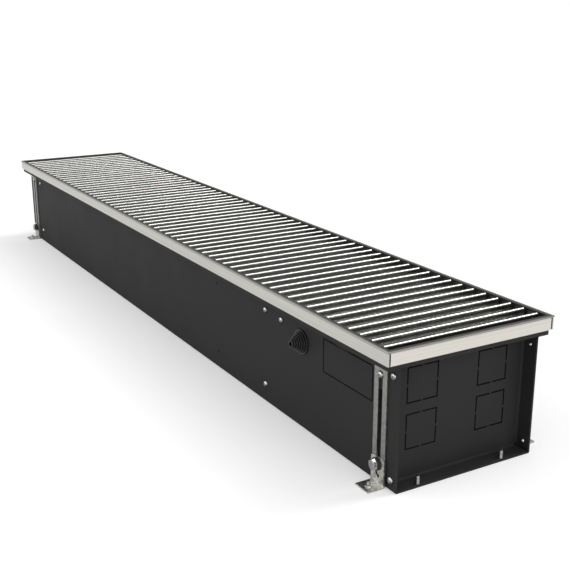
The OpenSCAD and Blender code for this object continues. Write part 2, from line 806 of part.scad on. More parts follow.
// Pan head screw along Y with its nut, through the rear wall from the outside
module pan_screw(x, z, head_y, nut_y, head_r) {
    translate([x, head_y, z]) rotate([-90, 0, 0]) difference() {
        rotate_extrude() polygon([[0, 0], [head_r, 0], [head_r, screw_head_h * head_rim_share],
            [head_r * head_top_share, screw_head_h], [0, screw_head_h]]);
        translate([0, 0, screw_head_h * head_rim_share]) cylinder(r = screw_socket_r, h = screw_head_h);
    }
    translate([x, nut_y - nut_h - fit_gap, z]) rotate([-90, 0, 0])
        cylinder(r = screw_r, h = head_y - nut_y + nut_h + fit_gap);
    translate([x, nut_y - nut_h, z]) rotate([-90, 0, 0]) difference() {
        rotate([0, 0, 30]) hexagon(nut_af, nut_h);
        translate([0, 0, -over]) cylinder(r = screw_r + fit_gap, h = nut_h + 2 * over);
    }
}

module wall_screws() color(bright_steel)
    for (left = [0, 1], front = [0, 1]) at_corner(left, front) {
        for (z = [screw_low, screw_high])
            pan_screw(screw_x, z, wall_y, panel_y - sheet_t, screw_head_r);
        pan_screw(foot_x, strip_screw_z, wall_y + strip_t, wall_in, strip_screw_head_r);
    }

// Blind rivet through the rear wall, its domed head outside
module rivet(x, z, grip) {
    translate([x, wall_y, z]) rotate([-90, 0, 0]) rotate_extrude()
        polygon([[0, 0], [rivet_head_r, 0],
            [rivet_head_r * rivet_shoulder_share, rivet_head_h * rivet_shoulder_h_share],
            [rivet_head_r * rivet_crown_share, rivet_head_h], [0, rivet_head_h]]);
    translate([x, wall_y - grip, z]) rotate([-90, 0, 0]) cylinder(r = rivet_r, h = grip);
}

module rivets() color(bright_steel) {
    grip = 2 * sheet_t + 2 * fit_gap;
    for (front = [0, 1], x = rivet_places, z = [rivet_low, rivet_high])
        mirror([0, front, 0]) rivet(x, z, grip);
    mirror([0, 1, 0]) rivet(box_rivet_x, box_rivet_z, sheet_t + box_wall);
}

// Stepped rubber grommet, revolved about the hole's axis and cut open from the inside
module cable_grommet() color(rubber_black) {
    step = (grommet_out - grommet_flange_h) / grommet_steps;
    widest = grommet_r - grommet_shoulder;
    inner_r = grommet_r - grommet_inner_set;
    narrowing = (widest - grommet_tip_r) / (grommet_steps - 1);
    steps = [for (i = [0:grommet_steps - 1]) each [
        [widest - i * narrowing, grommet_flange_h + i * step],
        [widest - i * narrowing, grommet_flange_h + (i + 1) * step]]];
    translate([grommet_x, -wall_y, grommet_z]) rotate([90, 0, 0]) difference() {
        rotate_extrude() polygon(concat([[0, -sheet_t - grommet_flange_h],
            [inner_r, -sheet_t - grommet_flange_h], [inner_r, -sheet_t - fit_gap],
            [grommet_hole_r - fit_gap, -sheet_t - fit_gap], [grommet_hole_r - fit_gap, fit_gap],
            [grommet_r, fit_gap], [grommet_r, grommet_flange_h]], steps, [[0, grommet_out]]));
        translate([0, 0, -sheet_t - grommet_flange_h - over])
            cylinder(r = grommet_tip_r - grommet_tip_wall, h = grommet_out + sheet_t + grommet_flange_h);
    }
}

function tube_places() = [for (column = [0, 1], row = [0, 1])
    [tube_y + column * tube_span, tube_low + row * tube_rise]];

// Partition across the trough with flanges turned towards +X, its web from X = 0
module partition() {
    half = wall_in - fit_gap;
    difference() {
        union() {
            along_x(0, sheet_t) polygon([[bend_in - half, sheet_t], [half - bend_in, sheet_t],
                [half, bend_r], [half, partition_h], [-half, partition_h], [-half, bend_r]]);
            translate([0, bend_r - half, sheet_t])
                cube([partition_flange, 2 * (half - bend_r), sheet_t]);
            for (s = [0, 1]) mirror([0, s, 0]) translate([0, half - sheet_t, bend_r])
                cube([partition_flange, sheet_t, partition_h - bend_r]);
        }
        for (p = tube_places()) translate([-over, p[0], p[1]]) rotate([0, 90, 0])
            cylinder(r = tube_r + fit_gap, h = sheet_t + 2 * over);
        translate([-over, fan_y, fan_z]) rotate([0, 90, 0])
            cylinder(r = mount_r + fit_gap, h = sheet_t + 2 * over);
        translate([-over, cable_y, cable_z]) rotate([0, 90, 0])
            cylinder(r = cable_hole_r, h = sheet_t + 2 * over);
        for (s = [-1, 1], z = [rivet_low, rivet_high])
            across_wall(partition_flange / 2, s * half, z, rivet_r + fit_gap, 4 * sheet_t);
    }
}

module partition_right() color(zinc) translate([partition_right_x, 0, 0]) partition();
module partition_left() color(zinc) translate([-partition_left_x, 0, 0]) mirror([1, 0, 0]) partition();

module fin_pack() color(fin_grey)
    for (i = [0:fin_count]) translate([fins_from + i * fin_pitch, 0, 0])
        rotate([90, 0, 90]) linear_extrude(height = fin_t) difference() {
            translate([fin_y - fin_w / 2, fin_z]) square([fin_w, fin_h]);
            for (p = tube_places()) translate(p) circle(r = tube_r + fit_gap);
        }

module exchanger_tubes() color(copper)
    for (p = tube_places()) along_x(-tube_left, tube_right) difference() {
        translate(p) circle(r = tube_r);
        translate(p) circle(r = tube_r - tube_wall);
    }

// Half ring of tube in the X-Y plane, open towards -X, its centre at the origin
module half_ring(bend) rotate([0, 0, -90]) rotate_extrude(angle = 180) translate([bend, 0])
    difference() {
        circle(r = tube_r);
        circle(r = tube_r - tube_wall);
    }

module return_bends() color(copper) {
    for (row = [0, 1])
        translate([-tube_left, tube_y + tube_span / 2, tube_low + row * tube_rise])
            mirror([1, 0, 0]) half_ring(tube_span / 2);
    translate([tube_right, tube_y + tube_span, tube_low + tube_rise / 2])
        rotate([90, 0, 0]) half_ring(tube_rise / 2);
}

// Brass end piece with a G1/2 bore, pushed over the end of a tube
module connection(z) color(brass_yellow)
    translate([connection_from, tube_y, z]) rotate([0, 90, 0]) difference() {
        hexagon(connection_af, connection_len);
        translate([0, 0, -over]) cylinder(r = tube_r + fit_gap, h = tube_right - connection_from + over);
        cylinder(r = port_r, h = connection_len);
        translate([0, 0, connection_len - socket_deep])
            cylinder(r = connection_bore_r, h = socket_deep + over);
    }

module flow_connection() connection(tube_low + tube_rise);
module return_connection() connection(tube_low);

module vent_body() color(brass_yellow)
    translate([vent_x, tube_y + tube_span, tube_low + tube_rise]) difference() {
        cylinder(r = vent_r, h = tube_r + vent_h);
        translate([-2 * vent_r, 0, 0]) rotate([0, 90, 0]) cylinder(r = tube_r + fit_gap, h = 4 * vent_r);
        translate([0, 0, tube_r + vent_h - vent_deep])
            cylinder(r = vent_screw_r + thread_gap, h = vent_deep + over);
    }

module vent_screw() color(brass_yellow)
    translate([vent_x, tube_y + tube_span, tube_low + tube_rise + tube_r + vent_h]) {
        translate([0, 0, vent_tip - vent_deep])
            cylinder(r = vent_screw_r, h = vent_deep - vent_tip + vent_screw_out);
        translate([0, 0, vent_screw_out - vent_head_h]) cylinder(r = vent_head_r, h = vent_head_h, $fn = 4);
    }

// Flat sheet that carries the air under the exchanger, with a leg along each edge
module air_duct() color(zinc) {
    rear = duct_rear;
    along_x(-partition_left_x + fit_gap, partition_right_x - fit_gap) {
        translate([duct_y, duct_z - guide_t]) square([rear - duct_y, guide_t]);
        for (y = [duct_y, rear - guide_t]) translate([y, sheet_t]) square([guide_t, duct_z - sheet_t]);
    }
}

// Curved guide round the impeller: an arc, a floor up to the duct and a leg to stand on
module fan_guide(from, to) color(zinc)
    along_x(from, to) {
        intersection() {
            translate([fan_y, fan_z]) difference() {
                circle(r = guide_r + guide_t);
                circle(r = guide_r);
            }
            translate([fan_y - 2 * guide_r, fan_z - 2 * guide_r])
                square([2 * guide_r, guide_height_share * guide_r]);
        }
        translate([fan_y, fan_z - guide_r - guide_t])
            square([duct_y - fit_gap - fan_y, guide_t]);
        translate([fan_y, sheet_t]) square([guide_t, fan_z - guide_r - sheet_t]);
    }

module fan_guide_left() fan_guide(-partition_left_x + fit_gap, motor_from - impeller_gap / 2);
module fan_guide_right() fan_guide(motor_to + impeller_gap / 2, partition_right_x - fit_gap);

// Upright sheet between the fan and the exchanger, its lower edge turned towards the fan
module air_baffle() color(zinc)
    along_x(-partition_left_x + fit_gap, partition_right_x - fit_gap) {
        translate([baffle_y, baffle_low]) square([guide_t, partition_h - baffle_low]);
        translate([baffle_y - tongue, baffle_low]) square([tongue, guide_t]);
    }

// Drum of leaning blades between discs, on a hub at each end
module impeller(from, to) color(black_steel) {
    discs = max(1, round((to - from) / disc_pitch));
    step = (to - from - disc_t) / discs;
    translate([from, fan_y, fan_z]) rotate([0, 90, 0]) {
        for (i = [0:discs]) translate([0, 0, i * step]) difference() {
            cylinder(r = impeller_r, h = disc_t);
            translate([0, 0, -over]) cylinder(r = shaft_r + fit_gap, h = disc_t + 2 * over);
        }
        for (z = [0, to - from - hub_len]) translate([0, 0, z]) difference() {
            cylinder(r = hub_r, h = hub_len);
            translate([0, 0, -over]) cylinder(r = shaft_r + fit_gap, h = hub_len + 2 * over);
        }
        for (i = [0:blade_count - 1]) rotate([0, 0, i * 360 / blade_count])
            translate([impeller_r - blade_depth, 0, 0]) rotate([0, 0, blade_lean])
                cube([blade_depth, blade_t, to - from]);
    }
}

module impeller_left()
    impeller(-partition_left_x + impeller_end_gap, motor_from - upright_t - impeller_gap);
module impeller_right()
    impeller(motor_to + upright_t + impeller_gap, partition_right_x - impeller_end_gap);

module fan_shaft() color(bright_steel)
    translate([-partition_left_x - shaft_past, fan_y, fan_z]) rotate([0, 90, 0])
        cylinder(r = shaft_r, h = partition_left_x + partition_right_x + 2 * shaft_past);

// Middle of each partition's web, where a bearing sits
bearing_places = [-partition_left_x - sheet_t / 2, partition_right_x + sheet_t / 2];

module fan_bearings() color(brass_yellow)
    for (x = bearing_places) translate([x - bearing_len / 2, fan_y, fan_z]) rotate([0, 90, 0])
        difference() {
            cylinder(r = bearing_r, h = bearing_len);
            translate([0, 0, -over]) cylinder(r = shaft_r + shaft_gap, h = bearing_len + 2 * over);
        }

// Rubber rings with a groove for the partition's edge
module bearing_mounts() color(rubber_black)
    for (x = bearing_places) translate([x, fan_y, fan_z]) rotate([0, 90, 0]) rotate_extrude() {
        groove = sheet_t / 2 + fit_gap;
        half = bearing_len / 2;
        polygon([[bearing_r + fit_gap, -half], [mount_flange_r, -half], [mount_flange_r, -groove],
            [mount_r, -groove], [mount_r, groove], [mount_flange_r, groove],
            [mount_flange_r, half], [bearing_r + fit_gap, half]]);
    }

module fan_motor() color(black_steel) difference() {
    union() {
        translate([motor_from + bell_len, fan_y, fan_z]) rotate([0, 90, 0])
            cylinder(r = motor_r, h = motor_len - 2 * bell_len);
        translate([motor_from, fan_y, fan_z]) rotate([0, 90, 0])
            cylinder(r = motor_r * bell_r_share, h = motor_len);
        translate([motor_x, cable_y, boss_low]) cylinder(r = boss_r, h = motor_r);
    }
    translate([motor_from - over, fan_y, fan_z]) rotate([0, 90, 0])
        cylinder(r = shaft_r + shaft_gap, h = motor_len + 2 * over);
}

module motor_bracket() color(zinc) difference() {
    union() {
        translate([motor_from - upright_t, fan_y - motor_r, sheet_t])
            cube([motor_len + 2 * upright_t, 2 * motor_r, upright_t]);
        for (x = [motor_from - upright_t, motor_to])
            translate([x, fan_y - upright_w / 2, sheet_t]) cube([upright_t, upright_w, upright_h - sheet_t]);
    }
    translate([motor_from - upright_t - over, fan_y, fan_z]) rotate([0, 90, 0])
        cylinder(r = upright_hole_r, h = motor_len + 2 * (upright_t + over));
    translate([motor_from - upright_t - over, cable_y, cable_z]) rotate([0, 90, 0])
        cylinder(r = cable_hole_r, h = motor_len + 2 * (upright_t + over));
}

// Box on the front wall, open towards the rear, hung from one lug
module terminal_box() color(grey_plastic) difference() {
    back = -wall_in + fit_gap;
    union() {
        translate([box_left, back, box_low]) cube([box_len, box_depth, box_high - box_low]);
        translate([box_rivet_x - lug_w / 2, back, box_high - box_wall]) cube([lug_w, box_wall, lug_h]);
    }
    translate([box_left + box_wall, back + box_wall, box_low + box_wall])
        cube([box_len - 2 * box_wall, box_depth, box_high - box_low - 2 * box_wall]);
    across_wall(box_rivet_x, back, box_rivet_z, rivet_r + fit_gap, 4 * box_wall);
    translate([cable_x, cable_y, box_low - over]) cylinder(r = cable_r + fit_gap, h = box_wall + 2 * over);
}

module terminal_box_lid() color(grey_plastic)
    translate([box_left, box_depth - wall_in + fit_gap, box_low]) {
        cube([box_len, lid_t, box_high - box_low]);
        translate([box_wall + fit_gap, -lid_t, box_wall + fit_gap])
            cube([box_len - 2 * (box_wall + fit_gap), lid_t, box_high - box_low - 2 * (box_wall + fit_gap)]);
    }

// Screw terminals on the back wall of the box
module terminal_block() color("ivory") {
    pole_w = (box_len - 6 * box_wall) / block_poles;
    back = -wall_in + fit_gap + box_wall;
    translate([box_left + 3 * box_wall, back, (box_low + box_high - block_h) / 2]) difference() {
        cube([pole_w * block_poles, block_depth, block_h]);
        for (i = [0:block_poles - 1]) translate([(i + 0.5) * pole_w, block_depth / 2, block_h / 2])
            rotate([-90, 0, 0]) cylinder(r = pole_w * pole_hole_share, h = block_depth);
    }
}

// Round run through a list of points, with a ball at each turn
module round_run(points, r) {
    for (i = [1:len(points) - 1]) {
        step = points[i] - points[i - 1];
        reach = norm(step);
        translate(points[i - 1]) rotate([0, acos(step[2] / reach), atan2(step[1], step[0])])
            cylinder(r = r, h = reach);
    }
    for (i = [1:len(points) - 2]) translate(points[i]) sphere(r = r);
}

module fan_cable() color(rubber_black)
    round_run([[cable_x, cable_y, box_low + 2 * box_wall], [cable_x, cable_y, cable_z],
        [motor_x, cable_y, cable_z], [motor_x, cable_y, boss_low]], cable_r);

trough();
end_panel_left();
end_panel_right();
frame_front();
frame_rear();
frame_left();
frame_right();
frame_corner_keys();
rest_strip_front();
rest_strip_rear();
grille_bars();
grille_spacers();
grille_springs();
guide_strip_front_left();
guide_strip_front_right();
guide_strip_rear_left();
guide_strip_rear_right();
foot_front_left();
foot_front_right();
foot_rear_left();
foot_rear_right();
foot_bolt_front_left();
foot_bolt_front_right();
foot_bolt_rear_left();
foot_bolt_rear_right();
foot_screw_front_left();
foot_screw_front_right();
foot_screw_rear_left();
foot_screw_rear_right();
levelling_screw_front_left();
levelling_screw_front_right();
levelling_screw_rear_left();
levelling_screw_rear_right();
wall_screws();
rivets();
cable_grommet();
partition_left();
partition_right();
fin_pack();
exchanger_tubes();
return_bends();
flow_connection();
return_connection();
vent_body();
vent_screw();
air_duct();
fan_guide_left();
fan_guide_right();
air_baffle();
impeller_left();
impeller_right();
fan_shaft();
fan_bearings();
bearing_mounts();
fan_motor();
motor_bracket();
terminal_box();
terminal_box_lid();
terminal_block();
fan_cable();
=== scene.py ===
import json
import math
from collections import namedtuple

import bmesh
import bpy
from mathutils import Matrix, Vector


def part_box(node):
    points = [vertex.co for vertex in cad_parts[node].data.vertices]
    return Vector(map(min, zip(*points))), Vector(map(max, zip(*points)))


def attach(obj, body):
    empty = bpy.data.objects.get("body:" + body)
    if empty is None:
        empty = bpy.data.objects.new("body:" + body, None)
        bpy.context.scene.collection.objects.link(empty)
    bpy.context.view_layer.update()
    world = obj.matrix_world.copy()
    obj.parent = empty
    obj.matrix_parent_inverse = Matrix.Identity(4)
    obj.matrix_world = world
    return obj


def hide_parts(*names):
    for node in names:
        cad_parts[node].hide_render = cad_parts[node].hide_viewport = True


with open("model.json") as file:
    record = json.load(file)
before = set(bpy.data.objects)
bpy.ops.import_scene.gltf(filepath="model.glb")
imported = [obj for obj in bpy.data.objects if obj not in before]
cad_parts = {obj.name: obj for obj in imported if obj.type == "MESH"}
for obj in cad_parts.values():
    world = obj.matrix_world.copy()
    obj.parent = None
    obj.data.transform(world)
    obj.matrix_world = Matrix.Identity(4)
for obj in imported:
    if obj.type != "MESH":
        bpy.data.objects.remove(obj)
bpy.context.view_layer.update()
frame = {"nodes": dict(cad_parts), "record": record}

MM = 0.001
CORNERS = ("front_left", "front_right", "rear_left", "rear_right")

# The camera, fitted to the photograph's straight edges
CAMERA_PLACE = Vector((1.58923, -0.747, 0.58209))
CAMERA_FORWARD = Vector((-0.82680636, 0.48127974, -0.29113752))
CAMERA_RIGHT = Vector((0.50327195, 0.86412775, -0.00076002))
CAMERA_LENS = 60.241
CAMERA_SENSOR = 36
CAMERA_NEAR = 50 * MM


def middle(low, high):
    return (low + high) / 2


def node_box(name):
    low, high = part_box(name)
    return Vector(low), Vector(high)


# Colours and node trees

def linear(value):
    """One sRGB channel from 0 to 255 as a linear share."""
    share = value / 255
    return share / 12.92 if share <= 0.04045 else ((share + 0.055) / 1.055) ** 2.4


def colour(red, green, blue):
    return (linear(red), linear(green), linear(blue), 1)


def grey(share):
    """A grey given as a linear share."""
    return (share, share, share, 1)


# Where a noise has its darker and its lighter end, as shares
NOISE_ENDS = (0.3, 0.7)
GLOW_ENDS = (0.35, 0.65)
# Sockets of a colour Mix node: its factor, its two colours and its result
MIX_FACTOR, MIX_A, MIX_B, MIX_RESULT = 0, 6, 7, 2


class Tree:
    """Adds and links the nodes of one node tree."""

    def __init__(self, owner):
        owner.use_nodes = True
        self.tree = owner.node_tree
        self.tree.nodes.clear()

    def add(self, kind, **values):
        node = self.tree.nodes.new(kind)
        for name, value in values.items():
            setattr(node, name, value)
        return node

    def link(self, a, out, b, into):
        source = a.outputs[MIX_RESULT] if a.bl_idname == "ShaderNodeMix" else a.outputs[out]
        self.tree.links.new(source, b.inputs[into])


class Maker(Tree):
    """Builds one node material step by step."""

    def __init__(self, name):
        self.material = bpy.data.materials.new(name)
        super().__init__(self.material)
        self.output = self.add("ShaderNodeOutputMaterial")
        self.shader = self.add("ShaderNodeBsdfPrincipled")
        self.link(self.shader, "BSDF", self.output, "Surface")

    def set(self, **values):
        for name, value in values.items():
            self.shader.inputs[name.replace("_", " ")].default_value = value

    def noise(self, scale, detail, stretch=(1, 1, 1), roughness=0.55):
        """A noise in the piece's own coordinates, stretched along each axis."""
        coords = self.add("ShaderNodeTexCoord")
        mapping = self.add("ShaderNodeMapping")
        mapping.inputs["Scale"].default_value = stretch
        self.link(coords, "Object", mapping, "Vector")
        node = self.add("ShaderNodeTexNoise")
        node.inputs["Scale"].default_value = scale
        node.inputs["Detail"].default_value = detail
        node.inputs["Roughness"].default_value = roughness
        self.link(mapping, "Vector", node, "Vector")
        return node

    def split(self, node, out):
        """The X, Y and Z of a vector."""
        parts = self.add("ShaderNodeSeparateXYZ")
        self.link(node, out, parts, "Vector")
        return parts

    def position(self):
        """The X, Y and Z of the shaded point, in the piece's own coordinates."""
        return self.split(self.add("ShaderNodeTexCoord"), "Object")

    def math(self, operation, *values):
        """A sum of values, each a number or a (node, socket) pair, given as such a pair."""
        node = self.add("ShaderNodeMath", operation=operation)
        for i, value in enumerate(values):
            if isinstance(value, tuple):
                self.link(value[0], value[1], node, i)
            else:
                node.inputs[i].default_value = value
        return (node, "Value")

    def ramp(self, source, out, stops):
        """Colours along a value, as (place, colour) stops."""
        node = self.add("ShaderNodeValToRGB")
        while len(node.color_ramp.elements) < len(stops):
            node.color_ramp.elements.new(0.5)
        for element, (place, tint) in zip(node.color_ramp.elements, stops):
            element.position = place
            element.color = tint
        self.link(source, out, node, "Fac")
        return node

    def blend(self, noise, low, high, ends=NOISE_ENDS):
        """Two colours that a noise fades into each other."""
        return self.ramp(noise, "Fac", [(ends[0], low), (ends[1], high)])

    def shades(self, value, stops):
        """Greys along a (node, socket) value, as (place, share) stops."""
        return self.ramp(value[0], value[1], [(place, grey(share)) for place, share in stops])

    def upward(self, stops):
        """A painted shade that follows how far the surface faces up, from -1 to 1."""
        normal = self.split(self.add("ShaderNodeNewGeometry"), "Normal")
        lifted = self.math("MULTIPLY_ADD", (normal, "Z"), 0.5, 0.5)
        return self.shades(lifted, [(0.5 + up / 2, share) for up, share in stops])

    def product(self, a, b):
        """Two colours multiplied."""
        node = self.add("ShaderNodeMix", data_type="RGBA", blend_type="MULTIPLY")
        node.inputs[MIX_FACTOR].default_value = 1
        self.link(a, "Color", node, MIX_A)
        self.link(b, "Color", node, MIX_B)
        return node

    def paint(self, tint):
        self.link(tint, "Color", self.shader, "Base Color")

    def roughen(self, noise, low, high):
        """A roughness that a noise moves between two values."""
        node = self.add("ShaderNodeMapRange")
        node.inputs["From Min"].default_value = NOISE_ENDS[0]
        node.inputs["From Max"].default_value = NOISE_ENDS[1]
        node.inputs["To Min"].default_value = low
        node.inputs["To Max"].default_value = high
        self.link(noise, "Fac", node, "Value")
        self.link(node, "Result", self.shader, "Roughness")

    def bump(self, noise, strength, distance):
        node = self.add("ShaderNodeBump")
        node.inputs["Strength"].default_value = strength
        node.inputs["Distance"].default_value = distance
        self.link(noise, "Fac", node, "Height")
        self.link(node, "Normal", self.shader, "Normal")


# The black coat and the painted shade along its knock-out cuts

# A cut along a rectangle: the axis it lies across, its centre and half size on that axis and in
# height, and half the bridge left amid each edge
Cut = namedtuple("Cut", "across centre half height half_height bridge")
# Half a knock-out cut's width, the half width of the band of painted shade along each cut, and the share of
# the coat's colour left in that band
CUT_HALF = 0.75 * MM
RIM = 1.05 * MM
CUT_SHADE_SHARE = 0.08
FRONT_CUT = Cut(across="X", centre=651.75 * MM, half=56.75 * MM,
                height=126.5 * MM, half_height=24 * MM, bridge=0)
PANEL_CUTS = [Cut(across="Y", centre=56 * MM, half=24 * MM,
                  height=height, half_height=24 * MM, bridge=1.5 * MM)
              for height in (65.6 * MM, 127.7 * MM)]


def cut_shade_band(made, here, cut):
    """One on the band of painted shade along a cut, else nought. A cut across X lies in the front wall, one
    across Y on both sides of the middle."""
    place = (here, "X") if cut.across == "X" else made.math("ABSOLUTE", (here, "Y"))
    along = made.math("ABSOLUTE", made.math("SUBTRACT", place, cut.centre))
    up = made.math("ABSOLUTE", made.math("SUBTRACT", (here, "Z"), cut.height))
    past_side = made.math("SUBTRACT", along, cut.half)
    past_top = made.math("SUBTRACT", up, cut.half_height)
    past = made.math("MAXIMUM", past_side, past_top)
    off_line = made.math("ABSOLUTE", made.math("ADD", past, CUT_HALF))
    rim = made.math("LESS_THAN", off_line, RIM)
    if cut.across == "X":
        held = made.math("LESS_THAN", (here, "Y"), 0.0)
    else:
        held = made.math("GREATER_THAN", made.math("MINIMUM", along, up), cut.bridge)
    return made.math("MULTIPLY", rim, held)


def powder_coat(name, cuts=()):
    """Black powder coat: a fine orange peel, a faint change of tone and painted shade along its cuts."""
    made = Maker(name)
    tone = made.noise(scale=9, detail=4)
    tint = made.blend(tone, colour(44, 44, 44), colour(49, 49, 49))
    # Painted shade: the coat darkens in a band along each knock-out cut
    if cuts:
        here = made.position()
        shade_beside_cuts = 0.0
        for cut in cuts:
            shade_beside_cuts = made.math("MAXIMUM", cut_shade_band(made, here, cut), shade_beside_cuts)
        tint = made.product(tint, made.shades(shade_beside_cuts, [(0, 1), (1, CUT_SHADE_SHARE)]))
    made.paint(tint)
    made.bump(made.noise(scale=1400, detail=2), strength=0.12, distance=0.2 * MM)
    made.roughen(tone, 0.54, 0.66)
    made.set(Specular_IOR_Level=0.16)
    return made.material


# Metals and mouldings

# Brings the object's heights into a ramp's range from 0 to 1
BAND_SCALE = 5


def brushed_aluminium(name, stretch, low, high, rough=0.34, grain=0.15, bands=None, patch_tints=None,
                      facing_shade=None, top=None):
    """Anodised aluminium with drawn lines; stretch is short along the lines. Bands are
    (height, shade) steps of painted shade up the piece, patch_tints two colours that fade into each
    other, and the facing shades paint light and shade on a crown by how far it faces up. Top is
    (axis, inner edge, width, shades) for thin dark lines and painted shade across a top face."""
    made = Maker(name)
    lines = made.noise(scale=900, detail=5, stretch=stretch, roughness=0.7)
    patches = made.noise(scale=6, detail=2)
    tint = made.blend(lines, low, high)
    if patch_tints:
        glow = made.noise(scale=34, detail=1)
        tint = made.product(tint, made.blend(glow, *patch_tints, ends=GLOW_ENDS))
    # Painted shade in steps up the piece
    if bands:
        height = made.math("MULTIPLY", (made.position(), "Z"), BAND_SCALE)
        steps = made.shades(height, [(z * BAND_SCALE, shade) for z, shade in bands])
        steps.color_ramp.interpolation = "CONSTANT"
        tint = made.product(tint, steps)
    # Painted light and shade by how far the surface faces up
    if facing_shade:
        tint = made.product(tint, made.upward(facing_shade))
    # Thin dark lines and painted shade across the top face
    if top:
        axis, inner, width, top_shades = top
        out = made.math("SUBTRACT", made.math("ABSOLUTE", (made.position(), axis)), inner)
        tint = made.product(tint, made.shades(made.math("DIVIDE", out, width), top_shades))
    made.paint(tint)
    made.bump(lines, strength=grain, distance=0.1 * MM)
    made.roughen(patches, rough - 0.04, rough + 0.05)
    made.set(Metallic=1.0)
    return made.material


def plated(name, low, high, rough, mottle_scale=220, grain=0.1, facing_shade=None):
    """Bare or plated metal, slightly mottled; the facing shades paint shade on it by how far it faces up."""
    made = Maker(name)
    mottle = made.noise(scale=mottle_scale, detail=4)
    tint = made.blend(mottle, low, high)
    # Painted shade by how far the surface faces up
    if facing_shade:
        tint = made.product(tint, made.upward(facing_shade))
    made.paint(tint)
    made.bump(made.noise(scale=1500, detail=2), strength=grain, distance=0.1 * MM)
    made.roughen(mottle, rough - 0.06, rough + 0.06)
    made.set(Metallic=1.0)
    return made.material


def moulded(name, low, high, rough, grain=0.15):
    """Rubber or moulded plastic with a fine grain."""
    made = Maker(name)
    tone = made.noise(scale=30, detail=3)
    made.paint(made.blend(tone, low, high))
    made.bump(made.noise(scale=900, detail=2), strength=grain, distance=0.2 * MM)
    made.roughen(tone, rough - 0.05, rough + 0.05)
    made.set(Specular_IOR_Level=0.5)
    return made.material


ALONG_X = (0.004, 1, 1)
ALONG_Y = (1, 0.004, 1)

# The surface frame: a painted shadow line runs round it below its top face, where the top overhangs, and
# shades run across that face
FRONT_BACK_CORNER = node_box("frame_front")[1]
RIGHT_INNER_X = node_box("frame_right")[0].x
FRAME_W = 7.1 * MM
FRAME_EDGE = 0.1 * MM
LINE_LOW = FRONT_BACK_CORNER.z - 2.7 * MM
LINE_HIGH = FRONT_BACK_CORNER.z - 1.65 * MM
# Shades across the top face from its inner edge outwards: thin dark lines, and painted shade that darkens the
# top towards its inner edge
LONG_TOP_SHADES = [(0, 0.25), (0.13, 0.34), (0.17, 0.03), (0.26, 0.03), (0.3, 0.38), (0.42, 0.46),
                    (0.46, 0.04), (0.54, 0.04), (0.58, 0.75), (0.8, 1)]
END_TOP_SHADES = [(0, 0.35), (0.25, 0.5), (0.3, 0.15), (0.36, 0.15), (0.4, 0.7), (0.6, 0.8),
                   (0.64, 0.2), (0.7, 0.2), (0.74, 1), (0.8, 1)]

# Painted light and shade by how far a surface faces up: bright shoulders on the bars' rounded heads, with
# darker sides and a darker flat top, and screw and rivet domes darkened where they face down
BAR_SHARES = [(0, 0.5), (0.4, 0.52), (0.62, 1), (0.92, 1), (0.99, 0.65)]
DOME_SHARES = [(-0.4, 0.08), (0.05, 0.35), (0.3, 1)]

BLACK = powder_coat("black_powder_coat")
TROUGH_BLACK = powder_coat("trough_powder_coat", [FRONT_CUT])
PANEL_BLACK = powder_coat("panel_powder_coat", PANEL_CUTS)
# One anodised aluminium for the frame in two copies: the end pieces tinted lighter as painted light and the
# long pieces darker as painted shade. Both carry the painted shadow line below the top, and the end pieces'
# top band is painted darker as shade
FRAME_LONG = brushed_aluminium(
    "anodised_along_x", ALONG_X, colour(206, 204, 197), colour(230, 228, 221),
    bands=[(0, 1), (LINE_LOW, 0.6), (LINE_HIGH, 0.95)],
    top=("Y", -FRONT_BACK_CORNER.y, FRAME_W, LONG_TOP_SHADES))
FRAME_END = brushed_aluminium(
    "anodised_along_y", ALONG_Y, colour(232, 231, 227), colour(250, 248, 244),
    bands=[(0, 1), (LINE_LOW, 0.5), (LINE_HIGH, 0.42)],
    patch_tints=[colour(255, 249, 246), colour(252, 252, 246)],
    top=("X", RIGHT_INNER_X, FRAME_W, END_TOP_SHADES))
# The bars carry painted light and shade on their crowns by how far they face up
BARS = brushed_aluminium(
    "anodised_bars", ALONG_Y, colour(228, 228, 224), colour(248, 248, 244),
    rough=0.2, grain=0.02, facing_shade=BAR_SHARES)
ZINC = plated("zinc_plate", colour(142, 142, 138), colour(172, 172, 168), rough=0.42)
FOOT_ZINC = plated("zinc_spangle", colour(176, 174, 168), colour(250, 249, 244),
                   rough=0.3, mottle_scale=300, grain=0.35)
STEEL = plated("bright_zinc", colour(158, 158, 156), colour(204, 204, 202), rough=0.15)
# The screw and rivet heads carry painted shade, darkest where their domes face down
HEADS = plated("zinc_heads_painted_shade", colour(226, 226, 224), colour(250, 250, 248),
               rough=0.28, facing_shade=DOME_SHARES)
# The washers are coloured dark as painted shadow round the bolt heads
WASHER = plated("washer_painted_shadow", colour(52, 52, 50), colour(78, 78, 76), rough=0.5)
RUBBER = moulded("black_rubber", colour(10, 10, 10), colour(16, 16, 16), rough=0.33, grain=0.05)
COPPER = plated("drawn_copper", colour(186, 116, 84), colour(206, 136, 100), rough=0.32)
BRASS = plated("turned_brass", colour(184, 158, 96), colour(206, 182, 118), rough=0.3)
FINS = plated("fin_aluminium", colour(186, 188, 190), colour(206, 208, 210), rough=0.36)
PLASTIC = moulded("black_plastic", colour(24, 24, 25), colour(34, 34, 35), rough=0.45)
GREY = moulded("grey_plastic", colour(84, 86, 88), colour(98, 100, 102), rough=0.5)
MOTOR = moulded("motor_enamel", colour(30, 31, 33), colour(42, 43, 45), rough=0.35)
IVORY = moulded("ivory_plastic", colour(222, 216, 196), colour(234, 228, 208), rough=0.4)

